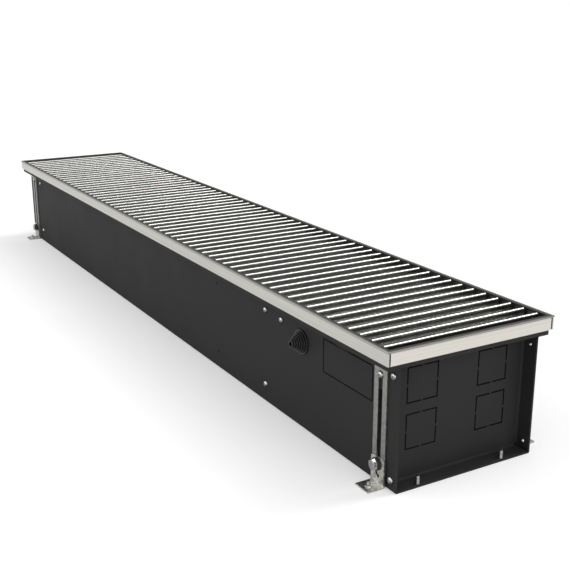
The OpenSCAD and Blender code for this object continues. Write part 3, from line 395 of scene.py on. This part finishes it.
SLOT_MATERIAL = {
    "black_sheet": BLACK, "anodised_aluminium": FRAME_LONG, "zinc_sheet": ZINC,
    "screw_steel": STEEL, "black_rubber": RUBBER, "copper_tube": COPPER,
    "brass_fitting": BRASS, "fin_sheet": FINS, "black_plastic": PLASTIC,
    "grey_plastic": GREY, "motor_housing": MOTOR, "ivory_plastic": IVORY,
}
NODE_MATERIAL = {
    "frame_left": FRAME_END, "frame_right": FRAME_END, "grille_bars": BARS, "trough": TROUGH_BLACK,
    "end_panel_left": PANEL_BLACK, "end_panel_right": PANEL_BLACK,
}
NODE_MATERIAL.update({"foot_" + corner: FOOT_ZINC for corner in CORNERS})


def dress_nodes():
    """Gives each CAD node the material of its name, or else of its slot."""
    node_slot = {part["node"]: part["material_slot"] for part in frame["record"]["subparts"]}
    for name, node in frame["nodes"].items():
        finish = NODE_MATERIAL.get(name, SLOT_MATERIAL[node_slot[name]])
        node.data.materials.clear()
        node.data.materials.append(finish)


dress_nodes()

# Softened edges
WELD_REACH = 0.01 * MM
BEVEL_ANGLE = math.radians(40)
SHEET_EDGE = 0.3 * MM


def soften(node, width):
    """Rounds the sharp edges of a piece, or of the carried-over CAD node of that name."""
    node = frame["nodes"].get(node, node) if isinstance(node, str) else node
    weld = node.modifiers.new("weld", "WELD")
    weld.merge_threshold = WELD_REACH
    bevel = node.modifiers.new("bevel", "BEVEL")
    bevel.width = width
    bevel.segments = 2
    bevel.limit_method = "ANGLE"
    bevel.angle_limit = BEVEL_ANGLE


for name in ("frame_front", "frame_rear", "frame_left", "frame_right"):
    soften(name, FRAME_EDGE)
for corner in CORNERS:
    soften("guide_strip_" + corner, SHEET_EDGE)
for name in ("terminal_box", "motor_bracket", "flow_connection", "return_connection"):
    soften(name, SHEET_EDGE)


# Mesh building

# Decimals of a metre to which two corners of a solid are one point
POINT_DIGITS = 5


def solids(name):
    """Boxes of the separate solids of a CAD node, as (low, high) corners."""
    mesh = frame["nodes"][name].data
    group = {}

    def root(key):
        while group[key] != key:
            key = group[key]
        return key

    keys = [tuple(round(c, POINT_DIGITS) for c in vertex.co) for vertex in mesh.vertices]
    for key in keys:
        group.setdefault(key, key)
    for face in mesh.polygons:
        first = root(keys[face.vertices[0]])
        for index in face.vertices[1:]:
            group[root(keys[index])] = first
    found = {}
    for key in group:
        found.setdefault(root(key), []).append(key)
    boxes = []
    for points in found.values():
        low = Vector([min(p[i] for p in points) for i in range(3)])
        high = Vector([max(p[i] for p in points) for i in range(3)])
        boxes.append((low, high))
    return boxes


def through_wall(low, high):
    """For a fastener through a long wall: its outward axis, and its inner and outer end in Y."""
    outward = math.copysign(1, middle(low.y, high.y))
    inner, outer = (low.y, high.y) if outward > 0 else (high.y, low.y)
    return Vector((0, outward, 0)), inner, outer


def sides(axis):
    """Two unit vectors square to an axis and to each other."""
    up = Vector((0, 0, 1)) if abs(axis.z) < 0.5 else Vector((1, 0, 0))
    return up, axis.cross(up)


class Shape:
    """Collects closed solids and gives one smooth-shaded mesh."""

    LOBES = 4
    HEX_RIM_SHARE = 0.95
    HEX_SLOPE = math.tan(math.radians(30))

    def __init__(self):
        self.bm = bmesh.new()

    def skin(self, loops, ring=False):
        """Joins closed loops of equal length in their order, with a cap on both ends or as a ring."""
        rows = [[self.bm.verts.new(point) for point in loop] for loop in loops]
        pairs = list(zip(rows, rows[1:]))
        if ring:
            pairs.append((rows[-1], rows[0]))
        for a, b in pairs:
            for i in range(len(a)):
                j = (i + 1) % len(a)
                self.bm.faces.new((a[i], a[j], b[j], b[i]))
        if not ring:
            self.bm.faces.new(list(reversed(rows[0])))
            self.bm.faces.new(rows[-1])

    def turned(self, profile, place, axis, steps=48, ring=False):
        """Revolves (radius, along, lobe share) points about an axis through a place."""
        u, w = sides(axis)
        loops = []
        for radius, along, *lobe in profile:
            loop = []
            for i in range(steps):
                t = 2 * math.pi * i / steps
                r = radius * (1 + (lobe[0] * math.cos(self.LOBES * t) if lobe else 0))
                loop.append(place + axis * along + (u * math.cos(t) + w * math.sin(t)) * r)
            loops.append(loop)
        self.skin(loops, ring)

    def hexed(self, place, axis, across, height, both=False, steps=48):
        """A hexagon head with turned-down corners on its far end, or a nut with both ends so."""
        u, w = sides(axis)
        apothem = across / 2
        rim = apothem * self.HEX_RIM_SHARE
        sixth = math.pi / 3
        turns = [2 * math.pi * i / steps for i in range(steps)]
        reach = [apothem / math.cos(t % sixth - sixth / 2) for t in turns]
        drop = [(r - rim) * self.HEX_SLOPE for r in reach]

        def loop(radii, alongs):
            return [place + axis * a + (u * math.cos(t) + w * math.sin(t)) * r
                    for t, r, a in zip(turns, radii, alongs)]

        if both:
            loops = [loop([rim] * steps, [0] * steps), loop(reach, drop)]
        else:
            loops = [loop(reach, [0] * steps)]
        loops.append(loop(reach, [height - d for d in drop]))
        loops.append(loop([rim] * steps, [height] * steps))
        self.skin(loops)

    def finish(self, name, angle=35):
        bmesh.ops.recalc_face_normals(self.bm, faces=self.bm.faces)
        mesh = bpy.data.meshes.new(name)
        self.bm.to_mesh(mesh)
        self.bm.free()
        for face in mesh.polygons:
            face.use_smooth = True
        mesh.set_sharp_from_angle(angle=math.radians(angle))
        return mesh


def place_piece(name, mesh, body, slot, finish, *replaced):
    """Puts a finished mesh on a body in the place of CAD nodes."""
    made = bpy.data.objects.new(name, mesh)
    bpy.context.scene.collection.objects.link(made)
    mesh.materials.append(finish)
    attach(made, body)
    if replaced:
        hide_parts(*replaced)
    return made


# Profiles that the fasteners share
TIP_H = 0.4 * MM
# How far a cross recess swells and shrinks on its way round
LOBE_SHARE = 0.3
THREAD_DEPTH_SHARE = 0.45


def bow(radius, rim, height, end_share, steps=8):
    """Profile of a domed head, as (radius, along) pairs, from its rim to end_share of the radius."""
    last = math.acos(end_share)
    turns = [last * i / steps for i in range(steps + 1)]
    top = math.sin(last)
    return [(radius * math.cos(t), rim + (height - rim) * math.sin(t) / top) for t in turns]


def shank(tip_r, radius, length):
    """Profile of a plain shank with a chamfered tip."""
    return [(tip_r, 0), (radius, TIP_H), (radius, length)]


def thread(radius, start, end, pitch):
    """Profile of a thread drawn as rings."""
    count = max(1, round((end - start) / pitch))
    step = (end - start) / count
    root_r = radius - THREAD_DEPTH_SHARE * pitch
    points = []
    for i in range(count):
        points += [(root_r, start + i * step), (radius, start + (i + 0.5) * step)]
    return points


# Grille bars: head with rounded edges and a flared foot
CROWN_STEPS = 8
CROWN_R = 2.4 * MM
HEAD_DEEP = 5 * MM
FLARE_DEEP = 4 * MM
FLARE_OUT = 1 * MM
FLARE_STEPS = 6
BAR_EDGE = 0.3 * MM


def bar_outline(foot_half, head_half, bar_h):
    """A bar's section as (across, up) pairs: its right half from the foot up, then its mirror."""
    neck_z = bar_h - HEAD_DEEP
    half = [(foot_half - BAR_EDGE, 0), (foot_half, BAR_EDGE), (foot_half, neck_z - FLARE_DEEP)]
    for i in range(1, FLARE_STEPS):
        left = 1 - i / FLARE_STEPS
        half.append((foot_half - (foot_half - head_half) * (1 - left ** 2), neck_z - FLARE_DEEP * left))
    half.append((head_half, neck_z))
    for i in range(CROWN_STEPS):
        t = math.pi / 2 * i / CROWN_STEPS
        half.append((head_half - CROWN_R * (1 - math.cos(t)), bar_h - CROWN_R * (1 - math.sin(t))))
    half.append((head_half - CROWN_R, bar_h))
    return half + [(-x, z) for x, z in reversed(half)]


def grille():
    boxes = sorted(solids("grille_bars"), key=lambda box: box[0].x)
    first_low, first_high = boxes[0]
    foot_half = (first_high.x - first_low.x) / 2
    head_half = foot_half - FLARE_OUT
    outline = bar_outline(foot_half, head_half, first_high.z - first_low.z)
    shape = Shape()
    for low, high in boxes:
        x = middle(low.x, high.x)
        ends = ((low.y, BAR_EDGE), (low.y + BAR_EDGE, 0), (high.y - BAR_EDGE, 0), (high.y, BAR_EDGE))
        shape.skin([[(x + a * (1 - inset / head_half), y, low.z + max(b - inset, inset / 2))
                     for a, b in outline] for y, inset in ends])
    place_piece("bars", shape.finish("bars", angle=30), "grille", "anodised_aluminium", BARS, "grille_bars")


# Pan head screws with a cross recess, their nuts inside
SCREW_R = 1.75 * MM
SCREW_TIP_SHARE = 0.8
PAN_H = 2.6 * MM
PAN_RIM = 0.7 * MM
PAN_SEAT_SHARE = 0.97
RECESS_R = 1.7 * MM
# Points of the recess: share of its radius, share of the head's height
RECESS_SHARES = ((0.92, 0.99), (0.55, 0.45))
# A solid wider than this is a screw, a narrower one a nut, and a wide nut has its points along X
SCREW_FROM = 8.5 * MM
POINTED_FROM = 6.5 * MM
NUT_RIM = 0.4 * MM
NUT_END_SHARE = 0.15


def wall_fasteners():
    screws = Shape()
    nuts = Shape()
    for low, high in solids("wall_screws"):
        width = high.x - low.x
        axis, inner, outer = through_wall(low, high)
        x, z = middle(low.x, high.x), middle(low.z, high.z)
        if width > SCREW_FROM:
            head_r = width / 2
            seat = Vector((x, outer - axis.y * PAN_H, z))
            dome = [(head_r * PAN_SEAT_SHARE, 0)] + bow(head_r, PAN_RIM, PAN_H, RECESS_R / head_r)
            pit = [(RECESS_R * r, PAN_H * up, LOBE_SHARE) for r, up in RECESS_SHARES]
            screws.turned(dome + pit, seat, axis)
            screws.turned(shank(SCREW_R * SCREW_TIP_SHARE, SCREW_R, abs(seat.y - inner)),
                          Vector((x, inner, z)), axis, steps=24)
        else:
            across = width * math.cos(math.pi / 6) if width > POINTED_FROM else width
            nuts.turned(bow(across / 2, NUT_RIM, abs(outer - inner), NUT_END_SHARE),
                        Vector((x, outer, z)), -axis, steps=32)
    place_piece("pan_screws", screws.finish("pan_screws"), "root", "screw_steel", HEADS, "wall_screws")
    place_piece("wall_nuts", nuts.finish("wall_nuts"), "root", "screw_steel", HEADS)


# Blind rivets with a domed head and a pin in its middle
RIVET_H = 2.6 * MM
RIVET_RIM = 0.4 * MM
RIVET_SEAT_SHARE = 0.96
RIVET_R = 1.85 * MM
RIVET_TIP_R = 1.5 * MM
PIN_R = 1.1 * MM
PIN_HOLE_SHARE = 1.25
# Points of the pin: share of its radius, depth under the head's top
PIN_POINTS = ((1.05, 0.5 * MM), (1, 0.45 * MM), (0.9, 0.15 * MM))


def blind_rivets():
    shape = Shape()
    for low, high in solids("rivets"):
        head_r = (high.x - low.x) / 2
        axis, inner, outer = through_wall(low, high)
        seat = Vector((middle(low.x, high.x), outer - axis.y * RIVET_H, middle(low.z, high.z)))
        dome = bow(head_r, RIVET_RIM, RIVET_H, PIN_R * PIN_HOLE_SHARE / head_r)
        pin = [(PIN_R * share, RIVET_H - deep) for share, deep in PIN_POINTS]
        shape.turned([(head_r * RIVET_SEAT_SHARE, 0)] + dome + pin, seat, axis)
        shape.turned(shank(RIVET_TIP_R, RIVET_R, abs(seat.y - inner)),
                     Vector((seat.x, inner, seat.z)), axis, steps=24)
    place_piece("blind_rivets", shape.finish("blind_rivets"), "root", "screw_steel", HEADS, "rivets")


# Stepped cable grommet with rounded rings, a little shorter than its CAD solid
GROMMET_REACH_SHARE = 0.9
RINGS = 6
TIP_R = 6 * MM
FIRST_RING_IN = 2.5 * MM
BORE_R = 3.5 * MM
MOUTH_R = 3.6 * MM
MOUTH_EDGE = 0.1 * MM
FLANGE_H = 2.4 * MM
# Points of the flange: how far inside its radius, and how far off the wall
FLANGE_POINTS = ((0.2 * MM, 0.05 * MM), (0, 0.5 * MM), (0, FLANGE_H - 0.7 * MM),
                 (0.3 * MM, FLANGE_H - 0.2 * MM), (0.9 * MM, FLANGE_H))
GROOVE_IN = 3.6 * MM
GROOVE_BACK = 1.3 * MM
LIP_IN = 1 * MM
LIP_CHAMFER = 0.6 * MM
# Points of a ring: how far inside its radius, and how far past its start or short of its end
RING_START = ((0.5 * MM, 0), (0.5 * MM, 0.5 * MM), (0, 0.9 * MM))
RING_END = ((0, 1.2 * MM), (0.3 * MM, 0.4 * MM), (1 * MM, 0.02 * MM))


def grommet():
    low, high = node_box("cable_grommet")
    wall_y = node_box("guide_strip_front_left")[1].y
    outer_r = (high.x - low.x) / 2
    reach = (wall_y - low.y) * GROMMET_REACH_SHARE
    back = wall_y - high.y
    lip_r = outer_r - LIP_IN
    profile = [(BORE_R, back), (lip_r - LIP_CHAMFER, back), (lip_r, back + LIP_CHAMFER),
               (lip_r, -GROOVE_BACK), (outer_r - GROOVE_IN, -GROOVE_BACK),
               (outer_r - GROOVE_IN, FLANGE_POINTS[0][1])]
    profile += [(outer_r - inside, off) for inside, off in FLANGE_POINTS]
    ring_h = (reach - FLANGE_H) / RINGS
    first_r = outer_r - FIRST_RING_IN
    for i in range(RINGS):
        ring_r = first_r - (first_r - TIP_R) * i / (RINGS - 1)
        start = FLANGE_H + i * ring_h
        profile += [(ring_r - inside, start + past) for inside, past in RING_START]
        profile += [(ring_r - inside, start + ring_h - short) for inside, short in RING_END]
    profile += [(MOUTH_R, reach), (BORE_R, reach - MOUTH_EDGE)]
    shape = Shape()
    centre = Vector((middle(low.x, high.x), wall_y, middle(low.z, high.z)))
    shape.turned(profile, centre, Vector((0, -1, 0)), steps=96, ring=True)
    place_piece("stepped_grommet", shape.finish("stepped_grommet", angle=28), "root", "black_rubber",
                RUBBER, "cable_grommet")


# Hex bolts on the feet: chamfered head, threaded shank, nut and washer
BOLT_ACROSS = 13 * MM
BOLT_HEAD_H = 5.3 * MM
BOLT_R = 4 * MM
BOLT_PITCH = 1.25 * MM
BOLT_TIP_R = 3.3 * MM
BOLT_TIP_H = 0.3 * MM
BOLT_NECK_R = 3.9 * MM
BOLT_PAST = 1 * MM
BOLT_NUT_H = 6.5 * MM
WASHER_H = 2.6 * MM
WASHER_EDGE = 0.25 * MM


def foot_bolt(corner):
    node = "foot_bolt_" + corner
    body = "foot_" + corner
    low, high = node_box(node)
    axis, inner, outer = through_wall(low, high)
    x, z = middle(low.x, high.x), middle(low.z, high.z)
    head = Vector((x, outer - axis.y * BOLT_HEAD_H, z))
    seat = head - axis * WASHER_H
    tip = Vector((x, inner, z))
    length = abs(seat.y - inner)
    shape = Shape()
    shape.hexed(head, axis, BOLT_ACROSS, BOLT_HEAD_H)
    shape.turned([(BOLT_TIP_R, 0)] + thread(BOLT_R, BOLT_TIP_H, length, BOLT_PITCH)
                 + [(BOLT_NECK_R, length)], tip, axis, steps=32)
    shape.hexed(tip + axis * BOLT_PAST, axis, BOLT_ACROSS, BOLT_NUT_H, both=True)
    place_piece("hex_" + node, shape.finish("hex_" + node), body, "screw_steel", STEEL, node)

    # The washer, whose dark finish is painted shadow round the head
    outer_r = (high.x - low.x) / 2
    inner_r = outer_r - WASHER_EDGE
    shape = Shape()
    shape.turned([(inner_r, 0), (outer_r, WASHER_EDGE), (outer_r, WASHER_H - WASHER_EDGE),
                  (inner_r, WASHER_H)], seat, axis)
    place_piece("washer_" + corner, shape.finish("washer_" + corner), body, "screw_steel", WASHER)


# Feet: the upright leg with a lower crown and its two punched holes grown
LEG_KEPT = 34 * MM
LEG_CROWN_SHARE = 0.45
HOLES = ((-1.5 * MM, 15.8 * MM), (2.4 * MM, 13 * MM))
HOLE_REACH = 2.3 * MM
HOLE_GROWTH_SHARE = 0.25
FOOT_EDGE = 0.25 * MM


def bent_foot(corner):
    node = "foot_" + corner
    low, high = node_box(node)
    mid_x = middle(low.x, high.x)
    side = math.copysign(1, mid_x)
    mesh = frame["nodes"][node].data.copy()
    for vertex in mesh.vertices:
        x = side * (vertex.co.x - mid_x)
        for hole_x, hole_z in HOLES:
            if math.hypot(x - hole_x, vertex.co.z - hole_z) < HOLE_REACH:
                vertex.co.x += side * (x - hole_x) * HOLE_GROWTH_SHARE
                vertex.co.z += (vertex.co.z - hole_z) * HOLE_GROWTH_SHARE
                break
        if vertex.co.z > LEG_KEPT:
            vertex.co.z = LEG_KEPT + (vertex.co.z - LEG_KEPT) * LEG_CROWN_SHARE
    mesh.materials.clear()
    soften(place_piece("bent_" + node, mesh, node, "zinc_sheet", FOOT_ZINC, node), FOOT_EDGE)


# Slotted grub screws of the feet and of the trough
FOOT_PITCH = 0.8 * MM
LEVELLING_PITCH = 1 * MM
SLOT_DEEP = 1.6 * MM
SLOT_HALF = 0.5 * MM
SLOT_STEPS = 16
GRUB_CHAMFER = 0.35 * MM
GRUB_TIP_SHARE = 0.6
# How far the slotted end lies inside the thread, as a share of the pitch
GRUB_NECK_SHARE = 0.2


def grub_screw(node, pitch):
    low, high = node_box(node)
    radius = (high.x - low.x) / 2
    neck_r = radius - GRUB_NECK_SHARE * pitch
    slot_z = high.z - SLOT_DEEP
    centre = Vector((middle(low.x, high.x), middle(low.y, high.y), 0))
    shape = Shape()
    shape.turned([(radius * GRUB_TIP_SHARE, low.z)] + thread(radius, low.z + TIP_H, slot_z, pitch)
                 + [(neck_r, slot_z)], centre, Vector((0, 0, 1)), steps=32)
    last = math.acos(SLOT_HALF / radius)
    turns = [-last + 2 * last * i / SLOT_STEPS for i in range(SLOT_STEPS + 1)]
    levels = ((slot_z, neck_r), (high.z - GRUB_CHAMFER, neck_r), (high.z, neck_r - GRUB_CHAMFER))
    for side in (-1, 1):
        shape.skin([[(centre.x + side * max(r * math.cos(t), SLOT_HALF), centre.y + r * math.sin(t), z)
                     for t in turns] for z, r in levels])
    mesh = shape.finish("slotted_" + node, angle=30)
    place_piece("slotted_" + node, mesh, node, "screw_steel", STEEL, node)


# Dense fins, each a thin sheet with shallow waves
FIN_PITCH = 4 * MM
FIN_T = 0.2 * MM
WAVE = 0.35 * MM
WAVES = 24


def dense_fins():
    low, high = node_box("fin_pack")
    length = high.x - low.x
    count = int(length / FIN_PITCH)
    shape = Shape()
    for i in range(count + 1):
        x = low.x + WAVE + i * (length - FIN_T - 2 * WAVE) / count
        front = [(x + WAVE * (-1) ** k, low.y + (high.y - low.y) * k / WAVES) for k in range(WAVES + 1)]
        loop = front + [(a + FIN_T, y) for a, y in reversed(front)]
        shape.skin([[(a, y, z) for a, y in loop] for z in (low.z, high.z)])
    place_piece("dense_fins", shape.finish("dense_fins", angle=20), "root", "fin_sheet", FINS, "fin_pack")


# Fan motor: end bells, a ribbed housing, tie bolts and a cable gland
SHAFT_HOLE_R = 5 * MM
BELL = 8 * MM
COLLAR = 4 * MM
# Points of an end bell: share of the motor's radius, distance from its end
BELL_POINTS = ((0.5, 0), (0.74, 1 * MM), (0.8, 3 * MM), (0.82, BELL - 1 * MM), (0.95, BELL),
               (1, BELL + 0.8 * MM), (1, BELL + COLLAR))
RIBS = 10
# Points of a rib: how far inside the motor's radius, share of the rib's step
RIB_POINTS = ((1.2 * MM, 0.5), (0.1 * MM, 0.55), (0.1 * MM, 1))
RIB_START = 0.3 * MM
TIE_BOLTS = 4
TIE_SHARE = 0.9
TIE_ACROSS = 4.5 * MM
TIE_H = 3 * MM
TIE_IN = 1.5 * MM
TIE_OUT = 1 * MM
# Points of the gland: radius, distance up from the motor's lowest height
GLAND = ((3.6 * MM, 0), (4.4 * MM, 0.6 * MM), (4.4 * MM, 6 * MM), (4 * MM, 9 * MM), (4 * MM, 16 * MM))

motor_low, motor_high = node_box("fan_motor")
cable_low, cable_high = node_box("fan_cable")
cable_r = (cable_high.y - cable_low.y) / 2
cable_y = middle(cable_low.y, cable_high.y)
gland_x = cable_low.x + cable_r


def fan_motor():
    fan_low, fan_high = node_box("impeller_left")
    fan_y, fan_z = middle(fan_low.y, fan_high.y), middle(fan_low.z, fan_high.z)
    radius = (motor_high.y - motor_low.y) / 2
    length = motor_high.x - motor_low.x
    along = Vector((1, 0, 0))
    bell = [(SHAFT_HOLE_R, 0)] + [(radius * share, off) for share, off in BELL_POINTS]
    ribs = []
    rib_step = (length - 2 * (BELL + COLLAR)) / RIBS
    for i in range(RIBS):
        start = BELL + COLLAR + i * rib_step
        ribs.append((radius - RIB_POINTS[0][0], start + RIB_START))
        ribs += [(radius - inside, start + rib_step * share) for inside, share in RIB_POINTS]
    far_bell = [(r, length - off) for r, off in reversed(bell)]
    shape = Shape()
    shape.turned(bell + ribs + far_bell, Vector((motor_low.x, fan_y, fan_z)), along, steps=64)
    tie_r = radius * TIE_SHARE
    for i in range(TIE_BOLTS):
        t = 2 * math.pi * (i + 0.5) / TIE_BOLTS
        spot = Vector((motor_low.x + BELL - TIE_IN, fan_y + tie_r * math.cos(t), fan_z + tie_r * math.sin(t)))
        for off in (-TIE_OUT, length - 2 * BELL + TIE_OUT):
            shape.hexed(spot + along * off, along, TIE_ACROSS, TIE_H, both=True)
    shape.turned(GLAND, Vector((gland_x, cable_y, motor_low.z)), Vector((0, 0, 1)), steps=32)
    place_piece("ribbed_motor", shape.finish("ribbed_motor"), "root", "motor_housing", MOTOR, "fan_motor")


# The fan's cable on its route, with round turns
TURN_R = 18 * MM
TURN_STEPS = 8
CABLE_SIDES = 16
CABLE_INTO_GLAND = 1 * MM


def quarter(centre_x, centre_z, start):
    """A quarter turn from a start angle, clockwise seen from the front, as (x, z) pairs."""
    turns = [math.radians(start - 90 * i / TURN_STEPS) for i in range(TURN_STEPS + 1)]
    return [(centre_x + TURN_R * math.cos(t), centre_z + TURN_R * math.sin(t)) for t in turns]


def fan_cable():
    box_x = cable_high.x - cable_r
    turn_z = cable_low.z + cable_r + TURN_R
    route = [(box_x, cable_high.z)]
    route += quarter(box_x - TURN_R, turn_z, 0)
    route += quarter(gland_x + TURN_R, turn_z, -90)
    route.append((gland_x, motor_low.z + CABLE_INTO_GLAND))
    side = Vector((0, 1, 0))
    turns = [2 * math.pi * k / CABLE_SIDES for k in range(CABLE_SIDES)]
    loops = []
    for i, (x, z) in enumerate(route):
        before, after = route[max(i - 1, 0)], route[min(i + 1, len(route) - 1)]
        along = Vector((after[0] - before[0], 0, after[1] - before[1])).normalized()
        across = along.cross(side)
        centre = Vector((x, cable_y, z))
        loops.append([centre + (side * math.cos(t) + across * math.sin(t)) * cable_r for t in turns])
    shape = Shape()
    shape.skin(loops)
    place_piece("smooth_cable", shape.finish("smooth_cable", angle=50), "root", "black_plastic",
                PLASTIC, "fan_cable")


# Lid of the terminal box, rounded, with a screw at each corner
LID_CORNER_R = 3 * MM
LID_CORNER_STEPS = 6
# Levels of the lid: depth under its outer face, inset of its outline
LID_LEVELS = ((2.5 * MM, 0), (0.7 * MM, 0), (0.2 * MM, 0.25 * MM), (0, 0.8 * MM))
LID_SCREW_IN = 6 * MM
LID_SCREW_R = 2.6 * MM
LID_SCREW_H = 0.3 * MM
LID_SCREW_RIM = 0.1 * MM
LID_SCREW_END_SHARE = 0.5
# Points of the recess: radius, distance off the seat, how far it swells and shrinks
LID_RECESS = ((1.2 * MM, 0.28 * MM, LOBE_SHARE), (0.8 * MM, -0.6 * MM, LOBE_SHARE))


def rounded(low, high, inset):
    """A box's outline in X and Z with round corners, pulled in by an inset."""
    points = []
    for x, z, start in ((high.x, high.z, 0), (low.x, high.z, 90), (low.x, low.z, 180), (high.x, low.z, 270)):
        centre_x = x - math.copysign(LID_CORNER_R, x - middle(low.x, high.x))
        centre_z = z - math.copysign(LID_CORNER_R, z - middle(low.z, high.z))
        for i in range(LID_CORNER_STEPS + 1):
            t = math.radians(start + 90 * i / LID_CORNER_STEPS)
            points.append((centre_x + (LID_CORNER_R - inset) * math.cos(t),
                           centre_z + (LID_CORNER_R - inset) * math.sin(t)))
    return points


def box_lid():
    low, high = node_box("terminal_box_lid")
    lid = Shape()
    lid.skin([[(x, high.y - deep, z) for x, z in rounded(low, high, inset)] for deep, inset in LID_LEVELS])
    place_piece("box_lid", lid.finish("box_lid"), "root", "grey_plastic", GREY, "terminal_box_lid")

    dome = bow(LID_SCREW_R, LID_SCREW_RIM, LID_SCREW_H, LID_SCREW_END_SHARE, steps=4)
    profile = [(LID_SCREW_R, 0)] + dome + list(LID_RECESS)
    screws = Shape()
    for x in (low.x + LID_SCREW_IN, high.x - LID_SCREW_IN):
        for z in (low.z + LID_SCREW_IN, high.z - LID_SCREW_IN):
            screws.turned(profile, Vector((x, high.y - LID_SCREW_H, z)), Vector((0, 1, 0)), steps=32)
    place_piece("lid_screws", screws.finish("lid_screws"), "root", "screw_steel", STEEL)


grille()
wall_fasteners()
blind_rivets()
grommet()
for corner in CORNERS:
    foot_bolt(corner)
for corner in CORNERS:
    bent_foot(corner)
for corner in CORNERS:
    grub_screw("foot_screw_" + corner, FOOT_PITCH)
    grub_screw("levelling_screw_" + corner, LEVELLING_PITCH)
dense_fins()
fan_motor()
fan_cable()
box_lid()


# Camera, lights, world and floor

def add_camera():
    camera = bpy.data.objects.new("camera", bpy.data.cameras.new("camera"))
    bpy.context.scene.collection.objects.link(camera)
    up = CAMERA_RIGHT.cross(CAMERA_FORWARD).normalized()
    turn = Matrix((CAMERA_RIGHT, up, -CAMERA_FORWARD)).transposed()
    camera.matrix_world = Matrix.Translation(CAMERA_PLACE) @ turn.to_4x4()
    camera.data.lens = CAMERA_LENS
    camera.data.sensor_width = CAMERA_SENSOR
    camera.data.clip_start = CAMERA_NEAR
    bpy.context.scene.camera = camera


# Three soft keys above the rear wall, a weak top light and two wide fills: name, where from, share
# and spread in degrees. The share is what a lamp gives a surface that faces it, where 1 shows a
# colour as written
SUNS = (
    ("key_high", (0.1, 0.32, 0.94), 0.04, 15),
    ("key_middle", (0.1, 0.47, 0.88), 0.09, 15),
    ("key_low", (0.1, 0.64, 0.76), 0.15, 15),
    ("top", (0.1, -0.1, 0.99), 0.14, 44),
    ("fill_left", (-0.42, -0.78, 0.46), 0.19, 60),
    ("fill_right", (0.9, -0.12, 0.42), 0.22, 60),
)


def sun(name, towards, share, spread):
    data = bpy.data.lights.new(name, "SUN")
    data.energy = share * math.pi
    data.angle = math.radians(spread)
    made = bpy.data.objects.new(name, data)
    bpy.context.scene.collection.objects.link(made)
    made.rotation_euler = Vector(towards).to_track_quat("Z", "Y").to_euler()


# The world's strength as a light, from the left end to the right end
WORLD_LEFT, WORLD_RIGHT = 0.28, 0.62


def studio():
    """A world that is white for the camera and dimmer as a light, brighter from the right end."""
    world = bpy.data.worlds.new("studio")
    bpy.context.scene.world = world
    made = Tree(world)
    output = made.add("ShaderNodeOutputWorld")
    mix = made.add("ShaderNodeMixShader")
    dim = made.add("ShaderNodeBackground")
    dim.inputs["Color"].default_value = grey(1)
    white = made.add("ShaderNodeBackground")
    white.inputs["Color"].default_value = grey(1)
    white.inputs["Strength"].default_value = 1.0
    heading = made.add("ShaderNodeTexCoord")
    facing = made.add("ShaderNodeVectorMath", operation="DOT_PRODUCT")
    facing.inputs[1].default_value = (1, 0, 0)
    strength = made.add("ShaderNodeMapRange")
    strength.inputs["From Min"].default_value = -1
    strength.inputs["To Min"].default_value = WORLD_LEFT
    strength.inputs["To Max"].default_value = WORLD_RIGHT
    rays = made.add("ShaderNodeLightPath")
    made.link(heading, "Generated", facing, 0)
    made.link(facing, "Value", strength, "Value")
    made.link(strength, "Result", dim, "Strength")
    made.link(rays, "Is Camera Ray", mix, "Fac")
    made.link(dim, "Background", mix, 1)
    made.link(white, "Background", mix, 2)
    made.link(mix, "Shader", output, "Surface")


FLOOR_HALF = 30
FLOOR_DROP = 0.2 * MM
# What lifts the floor to white for the camera
FLOOR_LIFT = 0.29


def pale_floor_material():
    made = Maker("pale_floor")
    made.set(Roughness=0.9, Specular_IOR_Level=0.0)
    made.paint(made.blend(made.noise(scale=4, detail=2), grey(0.80), grey(0.82)))
    lift = made.add("ShaderNodeEmission")
    lift.inputs["Strength"].default_value = FLOOR_LIFT
    both = made.add("ShaderNodeAddShader")
    seen = made.add("ShaderNodeLightPath")
    shown = made.add("ShaderNodeMixShader")
    made.link(made.shader, "BSDF", both, 0)
    made.link(lift, "Emission", both, 1)
    made.link(seen, "Is Camera Ray", shown, "Fac")
    made.link(made.shader, "BSDF", shown, 1)
    made.link(both, "Shader", shown, 2)
    made.link(shown, "Shader", made.output, "Surface")
    return made.material


def add_floor():
    """A pale diffuse sheet that keeps the shadow."""
    mesh = bpy.data.meshes.new("floor")
    build = bmesh.new()
    bmesh.ops.create_grid(build, x_segments=1, y_segments=1, size=FLOOR_HALF)
    build.to_mesh(mesh)
    build.free()
    floor = bpy.data.objects.new("floor", mesh)
    floor.location = (0, 0, -FLOOR_DROP)
    bpy.context.scene.collection.objects.link(floor)
    mesh.materials.append(pale_floor_material())


add_camera()
for lamp in SUNS:
    sun(*lamp)
studio()
add_floor()
bpy.context.scene.view_settings.view_transform = "Standard"
